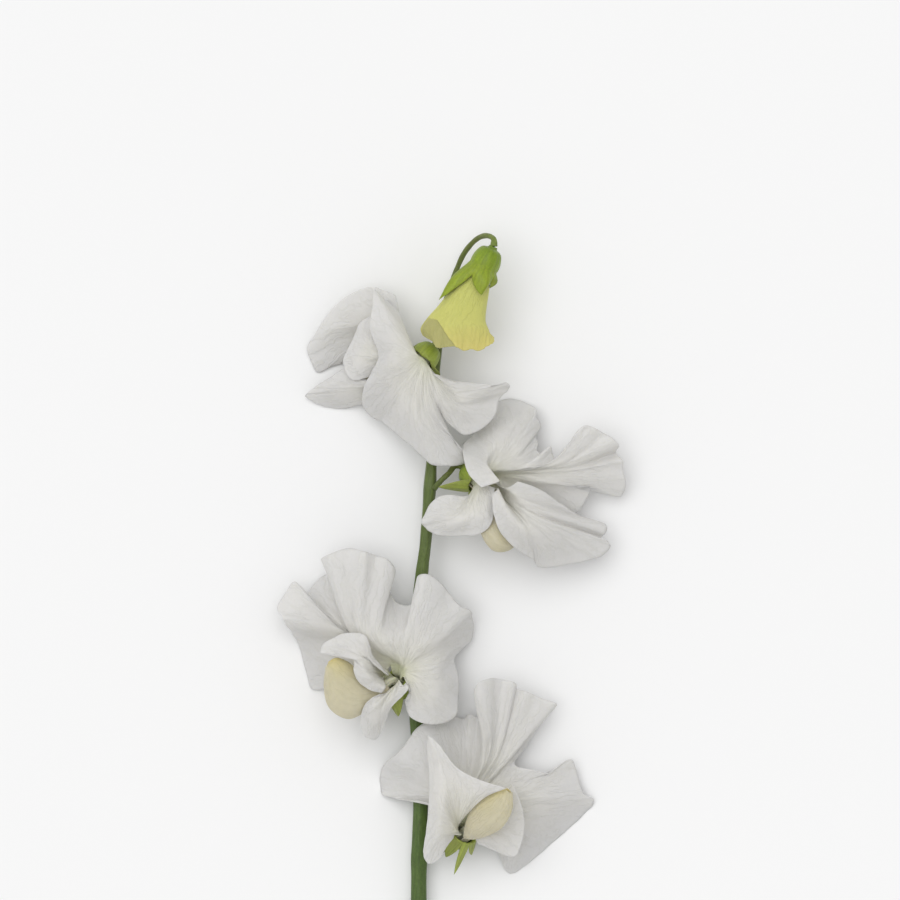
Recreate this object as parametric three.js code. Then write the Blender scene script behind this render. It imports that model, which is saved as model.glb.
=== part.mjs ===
// A white sweet pea: one cut flowering stem with four open flowers and one bud, lying on a surface.
//
// Millimetres, +Z up. The flower is laid out in a plan frame: X across the stem, Y along it towards
// the tip, Z up from the surface. At the end the whole spray is moved so that the origin lies at the
// middle of its footprint, on the surface.
//
// Every organ is a solid of its own: stem, flower stalks, calyxes, petals, stamen columns, pistils.
// A petal is a sheet of rays. Each ray starts at the petal's narrow foot inside the calyx cup, leaves
// the cup at its throat, runs over the petal's blade and ends at the rim.

import * as THREE from "three";

// Driving dimensions, in millimetres.
const STEM_RADIUS_CUT = 1.75; // at the cut end
const STEM_RADIUS_TIP = 0.85; // where the stem passes into the bud's stalk
const STEM_TAPER = 1.5; // above 1, the stem narrows faster towards its tip
const STALK_RADIUS = 0.6; // the five flower stalks
const CUP_RADIUS = 3.1; // calyx cup, middle of its wall
const CUP_LENGTH = 5.0; // from the stalk to the notches between the teeth
const CUP_PROFILE = [
  [0.9, 0.35],
  [2.2, 1.0],
  [CUP_RADIUS - 0.15, 2.8],
  [CUP_RADIUS, CUP_LENGTH],
]; // radius and height of the cup's wall, from the stalk up
const TOOTH_WIDTH = 0.7; // of a calyx tooth near its tip, as a share of its width at the cup
const TOOTH_FULLNESS = 1.67; // above 1, a tooth's edges bulge
const TOOTH_MIDDLE = 0.45; // where along a tooth its bow is widest
const CALYX_WALL = 0.5;
const CUP_KEEP_OUT = 4.5; // petals stay this far from the cup's axis outside it
const PETAL_THICKNESS = 0.7;
const FOOT_RADIUS = 2.1; // ring of petal feet inside the cup
const FOOT_HEIGHT = 2.6; // above the bottom of the cup
const THROAT_RADIUS = 2.15; // ring of petal claws where they leave the cup
const THROAT_HEIGHT = 5.6;
const COLLAR_HEIGHT = 6.5; // where the standard arches over the calyx teeth
const KEEL_THICKNESS = 0.5;
const KEEL_SLIT = 0.3; // half the opening along the keel's upper seam, in radians
const KEEL_CLAW_ENDS = [1.3, 3]; // cross-sections between which the keel's claw closes round the pistil
const COLUMN_RADIUS = 1.0; // stamen column, outside
const COLUMN_WALL = 0.25;
const PISTIL_RADIUS = 0.3;
const PISTIL_REACH = 0.72; // how far along the keel the pistil runs
const PISTIL_KNOTS = [0.55, 0.78, 1]; // shares of that reach where its line is held to the keel's middle
const COLUMN_SHARE = 0.95; // of the pistil's length
const BUD_FOOT_RADIUS = 1.65; // the bud's petals inside its calyx
const BUD_FOOT_HEIGHT = 1.6;
const BUD_THROAT_RADIUS = 2.05; // the bud's petals where they leave its calyx
const BUD_LIP = 0.35; // how far the bud's mouth turns in, as a share of its radius
const BUD_LIP_RISE = 0.35; // how far the middle of the mouth stands out

// How finely the organs are divided.
const RIM_STEPS_PER_POINT = 0.5; // rays for each point of a petal's rim
const BLADE_KNOTS = [0.5, 1, 1.5, 2]; // where a ray is divided: its blade point is at 1, its rim at 2
const CALYX_COLUMNS = 20; // four for each of the five teeth
const STEM_STEPS = 24;
const STEM_SIDES = 10;
const STALK_STEPS_PER_POINT = 2;
const ROD_SIDES = 8;
const COLUMN_STEPS = 5;
const PISTIL_SIDES = 6;
const KEEL_SIDES = 6;
const KEEL_STEPS_PER_SECTION = 1.5;

// Where the claws leave the calyx, in degrees from the side of the standard, and how far from the
// cup's axis each petal passes over the notches between the teeth.
const STANDARD_CLAW = { arc: [-52, 52], collar: 3.7 };
const WING_CLAW = { arc: [68, 108], collar: 2.8 };
const KEEL_ARC = 46; // half of the keel's claw, about the side away from the standard

// The stem's middle line, from the cut end to where it passes into the bud's stalk.
const STEM_LINE = [
  [0.3, -62, 1.9], [0.2, -30, 2.6], [0.15, 0, 3.6], [0.3, 12, 4.2], [0.6, 24, 4.8], [-0.2, 40, 5.5],
  [-0.3, 52, 6], [0.2, 67, 6.6], [1, 75, 6.8], [1.6, 80, 6.9], [2.9, 97, 7.2], [3.5, 108, 7.2],
  [3.9, 118, 7], [4.4, 125, 6.7], [5.2, 130.5, 6.2],
];

// The open flowers, from the tip of the stem down. For each petal, rim is its outline from one side of
// the foot round to the other, and blade holds points that the petal's face passes through, halfway
// out: the first number says which rim point the ray through it runs to.
// Highest flower, seen from behind: its standard lies open over the petals beneath.
const FLOWER_1 = {
  calyx: {
    base: [3.5, 124.5, 9.6],
    mouth: [1.2, 121.9, 11.6],
    up: [0, 0, 1],
    notch: 0.05,
    bow: 0,
    tips: [
      [5, 118.2, 12.8], [0.8, 122.4, 14.6], [-2.6, 125.9, 12.2], [-3.6, 122.6, 8.4], [1.8, 117, 8.8],
    ],
  },
  stalk: [
    [4.5, 124.4, 8.1], [5.1, 125.7, 8.6], [4.7, 125.6, 9.2],
  ],
  standard: {
    rim: [
      [-13, 119.2, 1.2], [-17, 120.6, 1], [-20, 119.9, 0.8], [-22.8, 118.8, 0.6], [-24.1, 121, 1],
      [-25.1, 124.3, 2], [-23.2, 127.6, 3.4], [-20.6, 131.6, 4.4], [-17.2, 135.2, 5.5],
      [-13.4, 137.3, 7], [-10.2, 138, 9], [-7.6, 137.2, 8.6], [-5, 135.8, 8.4], [-7.5, 135.2, 10.4],
      [-9.7, 137.4, 13], [-10.3, 133, 14.2], [-10.9, 128.8, 14.4], [-9.6, 125, 14],
      [-8.9, 122.3, 13.2], [-10.2, 119.3, 12], [-11.9, 116, 9.8], [-12.7, 112.8, 7], [-12.1, 110.3, 5],
      [-10.4, 108.4, 4.6], [-8, 107.3, 5.6], [-5, 105, 8], [-1.5, 102.2, 10.6], [0.8, 99.8, 12],
      [3, 98, 12.4], [7, 97.6, 12.2], [10.6, 98.4, 10.2], [10.8, 99.9, 10], [8.8, 102.4, 12.2],
      [6.9, 105.4, 12.8], [5.1, 109.3, 13.4], [7.9, 106.4, 12.8], [10.5, 104.6, 12], [13, 105.2, 11.6],
      [15.4, 106.7, 11.4], [17.6, 109.4, 11], [18.3, 112.6, 11.2], [19.4, 114, 11.6],
      [20.7, 115.3, 12.8], [20, 116.3, 14.2], [18, 115.8, 14.6], [14.5, 116.1, 14.6],
      [10.5, 116.6, 14.8], [7, 117.2, 15], [5.2, 117.8, 15.2],
    ],
    blade: [
      [0, -5.6, 129.4, 8.6], [3, -10, 128.2, 4.8], [7, -10.2, 130.4, 6.6], [10, -6.4, 132, 10.6],
      [12, -3.3, 129.8, 12.4], [14, -4.6, 129.2, 15.4], [17, -5, 124, 17], [20, -5.5, 119, 16.5],
      [23, -5, 114.8, 14.8], [26, -2, 111.8, 15.6], [29, 1.2, 110, 16.2], [32, 3, 111, 16.6],
      [34, 3.8, 113.2, 16.2], [37, 7, 111.8, 16], [41, 9.2, 112.6, 15.4], [44, 8, 114.8, 15.6],
      [48, 3.4, 118.4, 16.4],
    ],
  },
  leftWing: {
    rim: [
      [-9, 115.9, 8.8], [-13, 117.2, 7.6], [-16.6, 119.6, 6.2], [-19.3, 118, 4.8], [-22.3, 116.1, 3.6],
      [-24.8, 114.3, 2.6], [-25.6, 113.4, 2], [-24, 112.3, 1.4], [-21, 111.2, 0.8], [-17, 110.6, 0.8],
      [-14, 111.3, 1.4], [-10, 113, 4], [-6, 115.6, 7.5],
    ],
    blade: [
      [0, -4.8, 115.6, 11.8], [3, -10.5, 115.8, 8.6], [6, -14, 114.6, 6.2], [9, -10, 112.8, 5],
      [12, -4, 114, 10.2],
    ],
  },
  rightWing: {
    rim: [
      [-5.5, 124.8, 11], [-8.2, 128.8, 10.8], [-10.4, 131.2, 9.8], [-13, 130, 8.4], [-14.4, 127, 7.8],
      [-15.6, 124.2, 7.6], [-16.9, 121.6, 7.8], [-16.2, 118.6, 8.2], [-14.6, 117, 8.2],
      [-12, 117.4, 8.9], [-9, 118.6, 9.8], [-6, 119.6, 10.8],
    ],
    blade: [
      [0, -4.6, 122.9, 12.4], [3, -10.2, 125.8, 11], [6, -12.6, 121.8, 10.2], [9, -9.2, 119.9, 10.4],
      [11, -5.2, 120.4, 11.4],
    ],
  },
  keel: {
    ventral: [
      [-2.6, 118.5, 8.4], [-5.6, 118, 6.4], [-9.4, 118.2, 4.8], [-13, 118.9, 3.8], [-15.2, 120.2, 3.8],
    ],
    dorsal: [
      [-1.6, 120.8, 13.2], [-5, 119.8, 10.4], [-9.2, 119.9, 8.4], [-12.4, 120.2, 6.6],
      [-14.8, 120.9, 5.2],
    ],
    halfWidths: [1.6, 2, 2.1, 1.7, 0.5],
  },
};

// Second flower, on the other side of the stem, facing down it.
const FLOWER_2 = {
  calyx: {
    base: [10.4, 97.3, 6.6],
    mouth: [13.6, 94.3, 9],
    up: [0.35, 0.9, 0.25],
    notch: 0.05,
    bow: 0,
    tips: [
      [4.6, 92.9, 9.6], [13.2, 89.8, 6.6], [12.6, 99, 12.4], [14.6, 101, 6.4], [18.6, 95.4, 4.8],
    ],
  },
  stalk: [
    [3.6, 92.6, 8.1], [5.2, 94.4, 8.8], [6.9, 96, 8.4], [8.4, 97.6, 6.9],
  ],
  standard: {
    rim: [
      [14.2, 92.9, 18], [11.4, 95.8, 16.4], [10.2, 99.8, 13.2], [10.2, 102.6, 8], [12.3, 104.7, 5],
      [13.2, 107.2, 2.6], [15.2, 110.4, 1.2], [18.2, 112.3, 0.6], [22, 112.7, 0.8], [25.2, 111.6, 2.2],
      [26.8, 110.4, 4.2], [26.5, 109, 4.8], [27.6, 107, 4], [26.5, 104.8, 5], [27.1, 102.6, 6],
      [26.8, 101.2, 7], [27.8, 100.4, 7.6], [28.9, 100.6, 9], [29.9, 102.1, 10.2], [30.3, 100.3, 9.8],
      [31.2, 98.7, 9.8], [33.2, 99.6, 10], [34.5, 101.3, 9.6], [35.5, 104.8, 11.6],
      [37.2, 106.7, 12.6], [39.3, 106.5, 11.4], [42, 104.9, 9.6], [44.2, 103.6, 10.4],
      [45.3, 102.3, 9.2], [44.7, 100.5, 6.6], [46.2, 98.9, 8.8], [46.3, 96.6, 7.4], [46.9, 94.3, 6.2],
      [46.6, 92, 4.4], [45.4, 90.7, 3.4], [42.5, 91.9, 5.2], [38.6, 93, 8.8], [38.9, 92.2, 7.2],
      [38, 90.2, 6], [35.8, 87, 5], [30, 88, 5], [23.5, 90.3, 6.4],
    ],
    blade: [
      [0, 18.2, 94.3, 18.6], [3, 15.4, 98.4, 14.4], [6, 17.2, 101.5, 10.6], [9, 20, 102, 10.4],
      [12, 21.8, 100.4, 10.8], [15, 22.5, 98.4, 11.8], [18, 24, 97.7, 12.6], [20, 26, 97.2, 12.8],
      [23, 29, 98, 12.8], [27, 32, 97.7, 12.2], [31, 32, 95.7, 11.4], [35, 28, 94, 11],
      [37, 26, 93.4, 9.4], [39, 24, 92, 8], [41, 19.2, 92.4, 8.2],
    ],
  },
  leftWing: {
    rim: [
      [13.4, 91.4, 12.6], [10, 90.6, 13.4], [5.5, 91.1, 13.2], [2.8, 89.3, 12.6], [1.5, 86.6, 12.2],
      [0.8, 84.9, 12.2], [1.8, 83.5, 12.2], [4, 82.2, 12.6], [9, 82, 13.4], [13.6, 82.3, 15.6],
      [16, 84, 17], [17, 86.5, 16.8], [17.1, 90, 16.4], [17.2, 92.8, 14.8],
    ],
    blade: [
      [0, 14, 92.2, 12.6], [3, 9, 88.6, 15.2], [6, 9, 86.4, 15.8], [9, 13, 86.8, 17],
      [11, 15.4, 89.4, 16.8], [13, 15.9, 93.2, 14.2],
    ],
  },
  rightWing: {
    rim: [
      [16.6, 91.4, 18.6], [17, 87, 18.8], [18.5, 82.8, 17.8], [21.2, 79.8, 16.6], [24, 77.7, 14.6],
      [26, 76.6, 13], [26.8, 75, 11.4], [30, 74.8, 10.4], [35, 75.7, 9], [39, 76.5, 8],
      [42, 77.7, 7.2], [43.4, 79.6, 7], [42.6, 80.7, 7.6], [41.3, 81.4, 6.4], [42.3, 82.6, 7.2],
      [42.2, 84.3, 6.6], [39, 85.5, 7.6], [35.5, 87, 8.6], [32, 89.4, 10.6], [27, 92.6, 13],
      [22.4, 94.2, 14.8],
    ],
    blade: [
      [0, 17.9, 92.4, 17.4], [2, 20.4, 87.2, 19.2], [4, 24, 83.6, 19], [6, 24.8, 84, 18.6],
      [9, 25, 85.6, 18.2], [12, 24.8, 87.2, 17.6], [13, 24.2, 88, 17], [15, 23.8, 89.2, 16.8],
      [17, 22.6, 90.8, 16.6], [20, 20.2, 92.8, 15.4],
    ],
  },
  keel: {
    ventral: [
      [14.5, 89.2, 12.2], [14.2, 86, 13.6], [14.6, 82.6, 14.4], [17.2, 79, 14.4], [20.4, 79, 13.8],
      [23, 81.2, 13.4],
    ],
    dorsal: [
      [17.2, 91.2, 12.8], [18.3, 88.8, 13.2], [19.2, 86, 13.2], [20.2, 84, 13.2], [21.6, 82.8, 13.2],
      [23.2, 82, 13.2],
    ],
    halfWidths: [1.9, 1.8, 2.3, 2.4, 1.6, 0.5],
  },
};

// Third flower, facing up, with the keel to the left.
const FLOWER_3 = {
  calyx: {
    base: [-2.4, 46.6, 7.6],
    mouth: [-4.9, 48.7, 10.4],
    up: [0.5, 0.8, 0.1],
    notch: 0.05,
    bow: 0,
    tips: [
      [-4.5, 41.2, 9], [-9.5, 43.6, 7.2], [-6.6, 48.6, 2.8], [-5, 54.6, 5], [1.8, 50.6, 8.9],
    ],
  },
  stalk: [
    [-0.4, 41, 7.6], [-1, 43.6, 8], [-1.6, 45.3, 7.4],
  ],
  standard: {
    rim: [
      [-13, 46.5, 5], [-21, 47.2, 1.6], [-24, 47.2, 0.7], [-25.3, 51, 0.6], [-27, 57, 1],
      [-28.8, 60.5, 3.2], [-29.6, 62.3, 7.6], [-30.6, 63.6, 9.4], [-31.8, 65.7, 8.2], [-29.9, 69, 7.2],
      [-28, 71.6, 7.8], [-26.2, 70.3, 8.2], [-25, 68.4, 7.2], [-25.6, 67.3, 4.4], [-24.2, 70.2, 2.2],
      [-21.8, 72.6, 1.6], [-19, 73.6, 3], [-18.6, 74.4, 6.8], [-21.8, 76.6, 10.6], [-20, 77.8, 12.2],
      [-15.5, 79.2, 11.2], [-12, 78.4, 12.6], [-9.5, 77.6, 11.2], [-7, 76.9, 12], [-5, 74.2, 10.4],
      [-6.6, 70.6, 9], [-5.4, 67.4, 9], [-2.6, 66.3, 9.6], [-0.6, 67.5, 10.6], [-0.3, 72.6, 12],
      [1.8, 73.4, 13.4], [4.2, 72.2, 12.6], [7, 69, 10.6], [9.5, 66.2, 10.2], [11.6, 65.2, 9],
      [12, 63.9, 6.4], [12.7, 61.2, 3.2], [12, 58, 2.6], [9.4, 56, 4.8], [8.2, 54, 7], [9.2, 50, 7.8],
      [9, 45, 8.6], [8.2, 41.2, 9.6], [5, 39.6, 11], [1, 39.8, 12], [-1.8, 41.3, 11.6], [-3, 45, 11.2],
      [-3.4, 47.3, 11],
    ],
    blade: [
      [0, -8.8, 47.4, 8.2], [3, -15, 50.4, 5.4], [5, -17, 56.4, 5.4], [7, -18.5, 60.6, 9.4],
      [9, -18.6, 62, 9.4], [12, -18, 61.4, 9.4], [13, -17.2, 61.4, 8.8], [16, -16, 61.2, 9.4],
      [18, -15, 60.4, 12.4], [21, -12.4, 60.4, 15], [24, -8.4, 59.4, 15.6], [27, -5, 58.4, 14.8],
      [30, -1.5, 58.6, 14.6], [33, 2, 57.8, 14.4], [36, 4, 55.5, 12.2], [39, 3.5, 51.5, 13.2],
      [42, 2.5, 46, 13.6], [45, -0.8, 45, 12.8], [47, -3.6, 48.3, 11.6],
    ],
  },
  leftWing: {
    rim: [
      [-7, 51, 13.8], [-8.6, 53, 15.2], [-10.4, 55.8, 16.4], [-11.6, 59.4, 16.6], [-15, 60.2, 15.8],
      [-18.5, 59.4, 14.8], [-21.6, 57.4, 14], [-21.9, 55.6, 14], [-19.6, 55.3, 15.6],
      [-16.6, 55.3, 17.2], [-14.5, 54.2, 18.2], [-14.3, 51.6, 18.6], [-13, 49, 18.2],
      [-10.4, 47.2, 18.2], [-8.2, 46.7, 16.8],
    ],
    blade: [
      [0, -6.7, 50.6, 14.3], [2, -10, 53.4, 17.2], [4, -11.6, 55, 18.4], [6, -12.6, 55, 19],
      [9, -12.4, 53.2, 19.6], [12, -10.6, 49.8, 18.8], [14, -7.4, 47.7, 17],
    ],
  },
  rightWing: {
    rim: [
      [-2.8, 49, 14.4], [-2.1, 47.8, 14.8], [-3.4, 46, 15.2], [-6, 43.5, 15.6], [-7.2, 40.5, 14.6],
      [-8.3, 37.6, 12.6], [-9.8, 36, 11.6], [-11.8, 36.9, 12], [-12.9, 40, 14.2], [-12.3, 43.3, 17.2],
      [-10.8, 45.3, 18.2], [-8.6, 46.2, 17.4],
    ],
    blade: [
      [0, -3.8, 48.6, 14.2], [3, -5.6, 45.8, 16.2], [6, -8.8, 42.6, 17.2], [9, -9.4, 44.4, 18],
      [11, -7.4, 46.6, 15.8],
    ],
  },
  keel: {
    ventral: [
      [-7.7, 46.4, 12], [-10.6, 43.8, 14.2], [-15.4, 41.4, 15.6], [-19.6, 43.8, 16],
      [-20.9, 48.4, 15.8], [-20.7, 52.2, 15.4],
    ],
    dorsal: [
      [-7.3, 49.4, 12], [-10.4, 50, 13.6], [-13.4, 51.9, 14.4], [-16.2, 54, 14.8], [-18.4, 54.6, 15],
      [-20, 53.6, 15.2],
    ],
    halfWidths: [2, 1.8, 2.4, 2.6, 2, 0.9],
  },
};

// Lowest flower, facing up and across the stem.
const FLOWER_4 = {
  calyx: {
    base: [7.9, 12.8, 5.8],
    mouth: [10.3, 15.3, 9.3],
    up: [-0.5, 0.6, -0.3],
    notch: 0.12,
    bow: 0,
    tips: [
      [8.1, 5.6, 9.6], [6.3, 9.4, 7], [12.1, 9.9, 6.6], [15, 17.6, 4.6], [5.4, 18.4, 5.6],
    ],
  },
  stalk: [
    [1.9, 9.4, 4.6], [4.2, 10.3, 4.9], [6.4, 11.5, 5.2],
  ],
  standard: {
    rim: [
      [5.6, 19.4, 9.4], [2.5, 21.8, 9.2], [-2, 22.3, 7.2], [-6, 22.6, 3], [-8.1, 23.3, 0.9],
      [-8.7, 26, 0.6], [-8.4, 28.8, 1.6], [-7, 31, 4], [-4.2, 33.3, 7.2], [-2.2, 36, 8.4],
      [-0.5, 38.4, 8.6], [2, 40, 8.2], [5, 41, 6.6], [8, 41.2, 4.4], [10.2, 40.6, 3.6],
      [11.4, 41.6, 4], [13.4, 40.9, 4.2], [14.6, 42, 6.4], [13.4, 43.5, 9.6], [12.5, 46.8, 11.6],
      [13.6, 49, 12.6], [16.2, 49.9, 11.6], [19, 49.6, 9.6], [21.4, 49.1, 10.2], [22.2, 47.6, 8],
      [24.5, 46.8, 9.6], [27.5, 45.4, 8], [31.2, 44.1, 6.4], [31, 43, 4.8], [27.5, 39.4, 4.2],
      [24.2, 34.2, 4.2], [21.8, 30.6, 5.4], [22.6, 29.8, 7.2], [26, 29.1, 7.8], [29.8, 28.5, 6.6],
      [32.2, 30.2, 5.6], [34.6, 31.4, 4.4], [35.5, 29.6, 2.8], [36.6, 25.4, 2.2], [37.4, 23.5, 2.8],
      [39.7, 22.4, 1.8], [39.4, 21, 0.8], [36, 17.4, 0.6], [30, 12, 0.6], [25, 8, 0.6],
      [21.5, 5.5, 0.6], [20, 5.9, 0.8], [18.8, 9, 1.8], [17, 12.2, 4.6], [14.2, 14.2, 7.6],
    ],
    blade: [
      [0, 8.4, 18, 9.6], [4, 3.6, 22.6, 9.8], [7, 4, 25, 9.6], [10, 5.5, 28, 9.8], [13, 9, 28.5, 7.2],
      [16, 12, 29, 6], [18, 14.5, 31, 8.8], [21, 16, 33, 8.4], [24, 18, 32.5, 6.8],
      [27, 19.5, 31, 7.2], [30, 18.5, 28, 6.6], [33, 20.5, 26, 7.6], [37, 25, 24, 8],
      [41, 25.5, 20, 7], [45, 20.5, 13, 5], [49, 13, 15.6, 8.6],
    ],
  },
  leftWing: {
    rim: [
      [19.8, 25.6, 22], [17, 26.4, 22.6], [13, 27.7, 22.4], [9.8, 29.3, 21.4], [7, 32, 20.4],
      [4.5, 35.3, 18.8], [2.2, 37.1, 17.2], [2.1, 35, 16.4], [2.7, 29, 17], [2.5, 22, 16.6],
      [1.8, 15.5, 15.2], [1.2, 11.5, 14.2], [1.5, 9.2, 14], [2.5, 8.2, 14], [4.6, 9.2, 14],
      [6.3, 12, 13.6], [8.2, 14.2, 12.4],
    ],
    blade: [
      [0, 15, 23.4, 20.6], [2, 12.5, 24.4, 21.2], [4, 9.5, 25, 19.8], [6, 6.5, 25.5, 21],
      [8, 5.6, 22, 20.6], [10, 5.2, 18, 18.8], [12, 5, 14.5, 17], [14, 6.3, 14.2, 15.6],
      [16, 8.8, 15.4, 12.2],
    ],
  },
  rightWing: {
    rim: [
      [21.2, 26.4, 16.8], [22.5, 23.5, 15.6], [23.6, 20, 14.4], [23.9, 16, 12.8], [23.2, 12.5, 11.6],
      [21.8, 9.8, 10.6], [19, 10.2, 10.4], [15.6, 11.7, 10.6], [13.4, 12.6, 11],
    ],
    blade: [
      [0, 17.2, 20.6, 13.4], [3, 17.8, 16.6, 12.4], [6, 15.4, 14.4, 12], [8, 12.9, 14, 11.2],
    ],
  },
  keel: {
    ventral: [
      [12.5, 14, 13.2], [15, 14.8, 16.6], [18.6, 17, 19.6], [20.8, 21, 20.6], [21, 24.2, 20.2],
    ],
    dorsal: [
      [11, 17.4, 12.8], [12.4, 20.2, 14.4], [14.4, 22.7, 16.4], [17.2, 24.4, 18.2], [19.8, 25.4, 19.2],
    ],
    halfWidths: [1.6, 2, 2.3, 2, 0.9],
  },
};

// The green bud, hanging from the hooked stalk at the tip.
const BUD = {
  calyx: {
    base: [16.9, 146.8, 15.8],
    mouth: [12.4, 138, 15.2],
    up: [0, 0, 1],
    notch: 0.3,
    bow: 0.9,
    tips: [
      [14.2, 136, 19], [4.7, 135, 16.4], [16.1, 137.6, 15.4], [7.2, 135.4, 11.6], [13.5, 135.4, 11.4],
    ],
  },
  stalk: [
    [5.3, 131.3, 6.1], [6.4, 135.5, 5.8], [8.3, 141, 5.9], [10.5, 145.8, 7.4], [13.4, 148.9, 10.4],
    [15.8, 149.4, 14], [17, 148.5, 15.6],
  ],
  body: [
    { left: [9.8, 139.9, 15.2], right: [16.2, 139.2, 15.2], depth: 2.5 },
    { left: [6.8, 136.5, 15], right: [15.9, 136.4, 15], depth: 2.8 },
    { left: [4.3, 133.4, 14.8], right: [15.4, 133.2, 14.8], depth: 3 },
    { left: [2, 130.8, 14.6], right: [15.2, 130.2, 14.6], depth: 3.2 },
    { left: [0.6, 128.4, 14.5], right: [15.9, 128.2, 14.5], depth: 3.3 },
  ],
  rim: [
    [1.1, 127, 14.4], [1.5, 126.5, 15.4], [2.9, 125.7, 16.3], [4, 124.1, 17], [6.2, 124.3, 17.4],
    [8.7, 124.4, 17.6], [10.4, 123.5, 17.4], [12.2, 123.9, 17.4], [13.8, 123.5, 17],
    [15.6, 124.6, 16.2], [17.1, 125.5, 15.2], [17, 126.7, 14], [15.6, 126.4, 12.6], [13.4, 126, 11.8],
    [11, 126.4, 11.4], [8.6, 126.2, 11.2], [6.2, 126.6, 11.4], [4.2, 126.9, 11.8], [2.6, 127.2, 12.6],
    [1.5, 127.4, 13.4],
  ],
};

const point = (numbers) => new THREE.Vector3(...numbers);
const mix = (a, b, share) => a.clone().lerp(b, share);
const spline = (points) => new THREE.CatmullRomCurve3(points, false, "centripetal");

// ---- Closed solids from grids of points ----------------------------------------------------------

// Six times the volume that a closed geometry encloses: negative where its faces point inwards.
function signedVolume(vertices, triangles) {
  let sum = 0;
  for (let t = 0; t < triangles.length; t += 3) {
    const [a, b, c] = triangles.slice(t, t + 3).map((k) => vertices[k]);
    sum += a.dot(b.clone().cross(c));
  }
  return sum;
}

// The closed geometry of the quads and triangles that `faces` lists by vertex number, facing out.
function closedGeometry(vertices, faces) {
  const triangles = faces.flatMap(([a, b, c, d]) => (d === undefined ? [a, b, c] : [a, b, c, a, c, d]));
  const geometry = new THREE.BufferGeometry().setFromPoints(vertices);
  geometry.setIndex(signedVolume(vertices, triangles) > 0 ? triangles : triangles.reverse());
  geometry.computeVertexNormals();
  return geometry;
}

// Unit normals of an open grid of points, from the directions along its rows and columns.
function gridNormals(grid) {
  const rows = grid.length;
  const columns = grid[0].length;
  return grid.map((row, i) =>
    row.map((_, j) => {
      const down = grid[Math.min(i + 1, rows - 1)][j].clone().sub(grid[Math.max(i - 1, 0)][j]);
      const across = row[Math.min(j + 1, columns - 1)].clone().sub(row[Math.max(j - 1, 0)]);
      return down.cross(across).normalize();
    }),
  );
}

// A sheet of even thickness about a grid of points, closed round its four edges.
function sheetSolid(grid, thickness) {
  const normals = gridNormals(grid);
  const rows = grid.length;
  const columns = grid[0].length;
  const side = (sign) =>
    grid.flatMap((row, i) =>
      row.map((p, j) => p.clone().addScaledVector(normals[i][j], (sign * thickness) / 2)),
    );
  const top = (i, j) => i * columns + j;
  const bottom = (i, j) => rows * columns + i * columns + j;
  const faces = [];
  for (let i = 0; i < rows - 1; i += 1) {
    for (let j = 0; j < columns - 1; j += 1) {
      faces.push([top(i, j), top(i + 1, j), top(i + 1, j + 1), top(i, j + 1)]);
      faces.push([bottom(i, j), bottom(i, j + 1), bottom(i + 1, j + 1), bottom(i + 1, j)]);
    }
  }
  for (let i = 0; i < rows - 1; i += 1) {
    faces.push([top(i, 0), bottom(i, 0), bottom(i + 1, 0), top(i + 1, 0)]);
    const last = columns - 1;
    faces.push([top(i, last), top(i + 1, last), bottom(i + 1, last), bottom(i, last)]);
  }
  for (let j = 0; j < columns - 1; j += 1) {
    faces.push([top(0, j), top(0, j + 1), bottom(0, j + 1), bottom(0, j)]);
    const last = rows - 1;
    faces.push([top(last, j), bottom(last, j), bottom(last, j + 1), top(last, j + 1)]);
  }
  return closedGeometry([...side(1), ...side(-1)], faces);
}

// A solid through a stack of rings of points. The first and last rings are closed by caps, or, with
// `looped`, joined to each other, which leaves a passage through the middle.
function ringSolid(rings, looped = false) {
  const count = rings[0].length;
  const vertices = rings.flat();
  const faces = [];
  const at = (i, j) => (i % rings.length) * count + (j % count);
  const steps = looped ? rings.length : rings.length - 1;
  for (let i = 0; i < steps; i += 1) {
    for (let j = 0; j < count; j += 1) {
      faces.push([at(i, j), at(i, j + 1), at(i + 1, j + 1), at(i + 1, j)]);
    }
  }
  if (!looped) {
    const middle = (ring) => ring.reduce((sum, p) => sum.add(p), new THREE.Vector3()).divideScalar(count);
    const first = vertices.push(middle(rings[0])) - 1;
    const last = vertices.push(middle(rings.at(-1))) - 1;
    for (let j = 0; j < count; j += 1) {
      faces.push([first, at(0, j + 1), at(0, j)]);
      faces.push([last, at(rings.length - 1, j), at(rings.length - 1, j + 1)]);
    }
  }
  return closedGeometry(vertices, faces);
}

// Rings of a rod along a curve, up to `until` of its length; radiusAt gives its radius at each share.
function rodRings(curve, steps, radiusAt, sides = ROD_SIDES, until = 1) {
  const frames = curve.computeFrenetFrames(steps);
  return Array.from({ length: steps + 1 }, (_, i) => {
    const middle = curve.getPointAt((until * i) / steps);
    return Array.from({ length: sides }, (_unused, j) => {
      const angle = (2 * Math.PI * j) / sides;
      return middle
        .clone()
        .addScaledVector(frames.normals[i], radiusAt(i / steps) * Math.cos(angle))
        .addScaledVector(frames.binormals[i], radiusAt(i / steps) * Math.sin(angle));
    });
  });
}

// ---- Stem and stalks -----------------------------------------------------------------------------

function stem() {
  const radiusAt = (share) => THREE.MathUtils.lerp(STEM_RADIUS_CUT, STEM_RADIUS_TIP, share ** STEM_TAPER);
  return ringSolid(rodRings(spline(STEM_LINE.map(point)), STEM_STEPS, radiusAt, STEM_SIDES));
}

// A flower's stalk, from the side of the stem to just short of the bottom of its calyx.
function stalk(line, frame) {
  const points = [...line.map(point), frame.at(0, 0, -STALK_RADIUS / 2)];
  const steps = STALK_STEPS_PER_POINT * points.length;
  return ringSolid(rodRings(spline(points), steps, () => STALK_RADIUS));
}

// ---- Calyx ---------------------------------------------------------------------------------------

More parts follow.
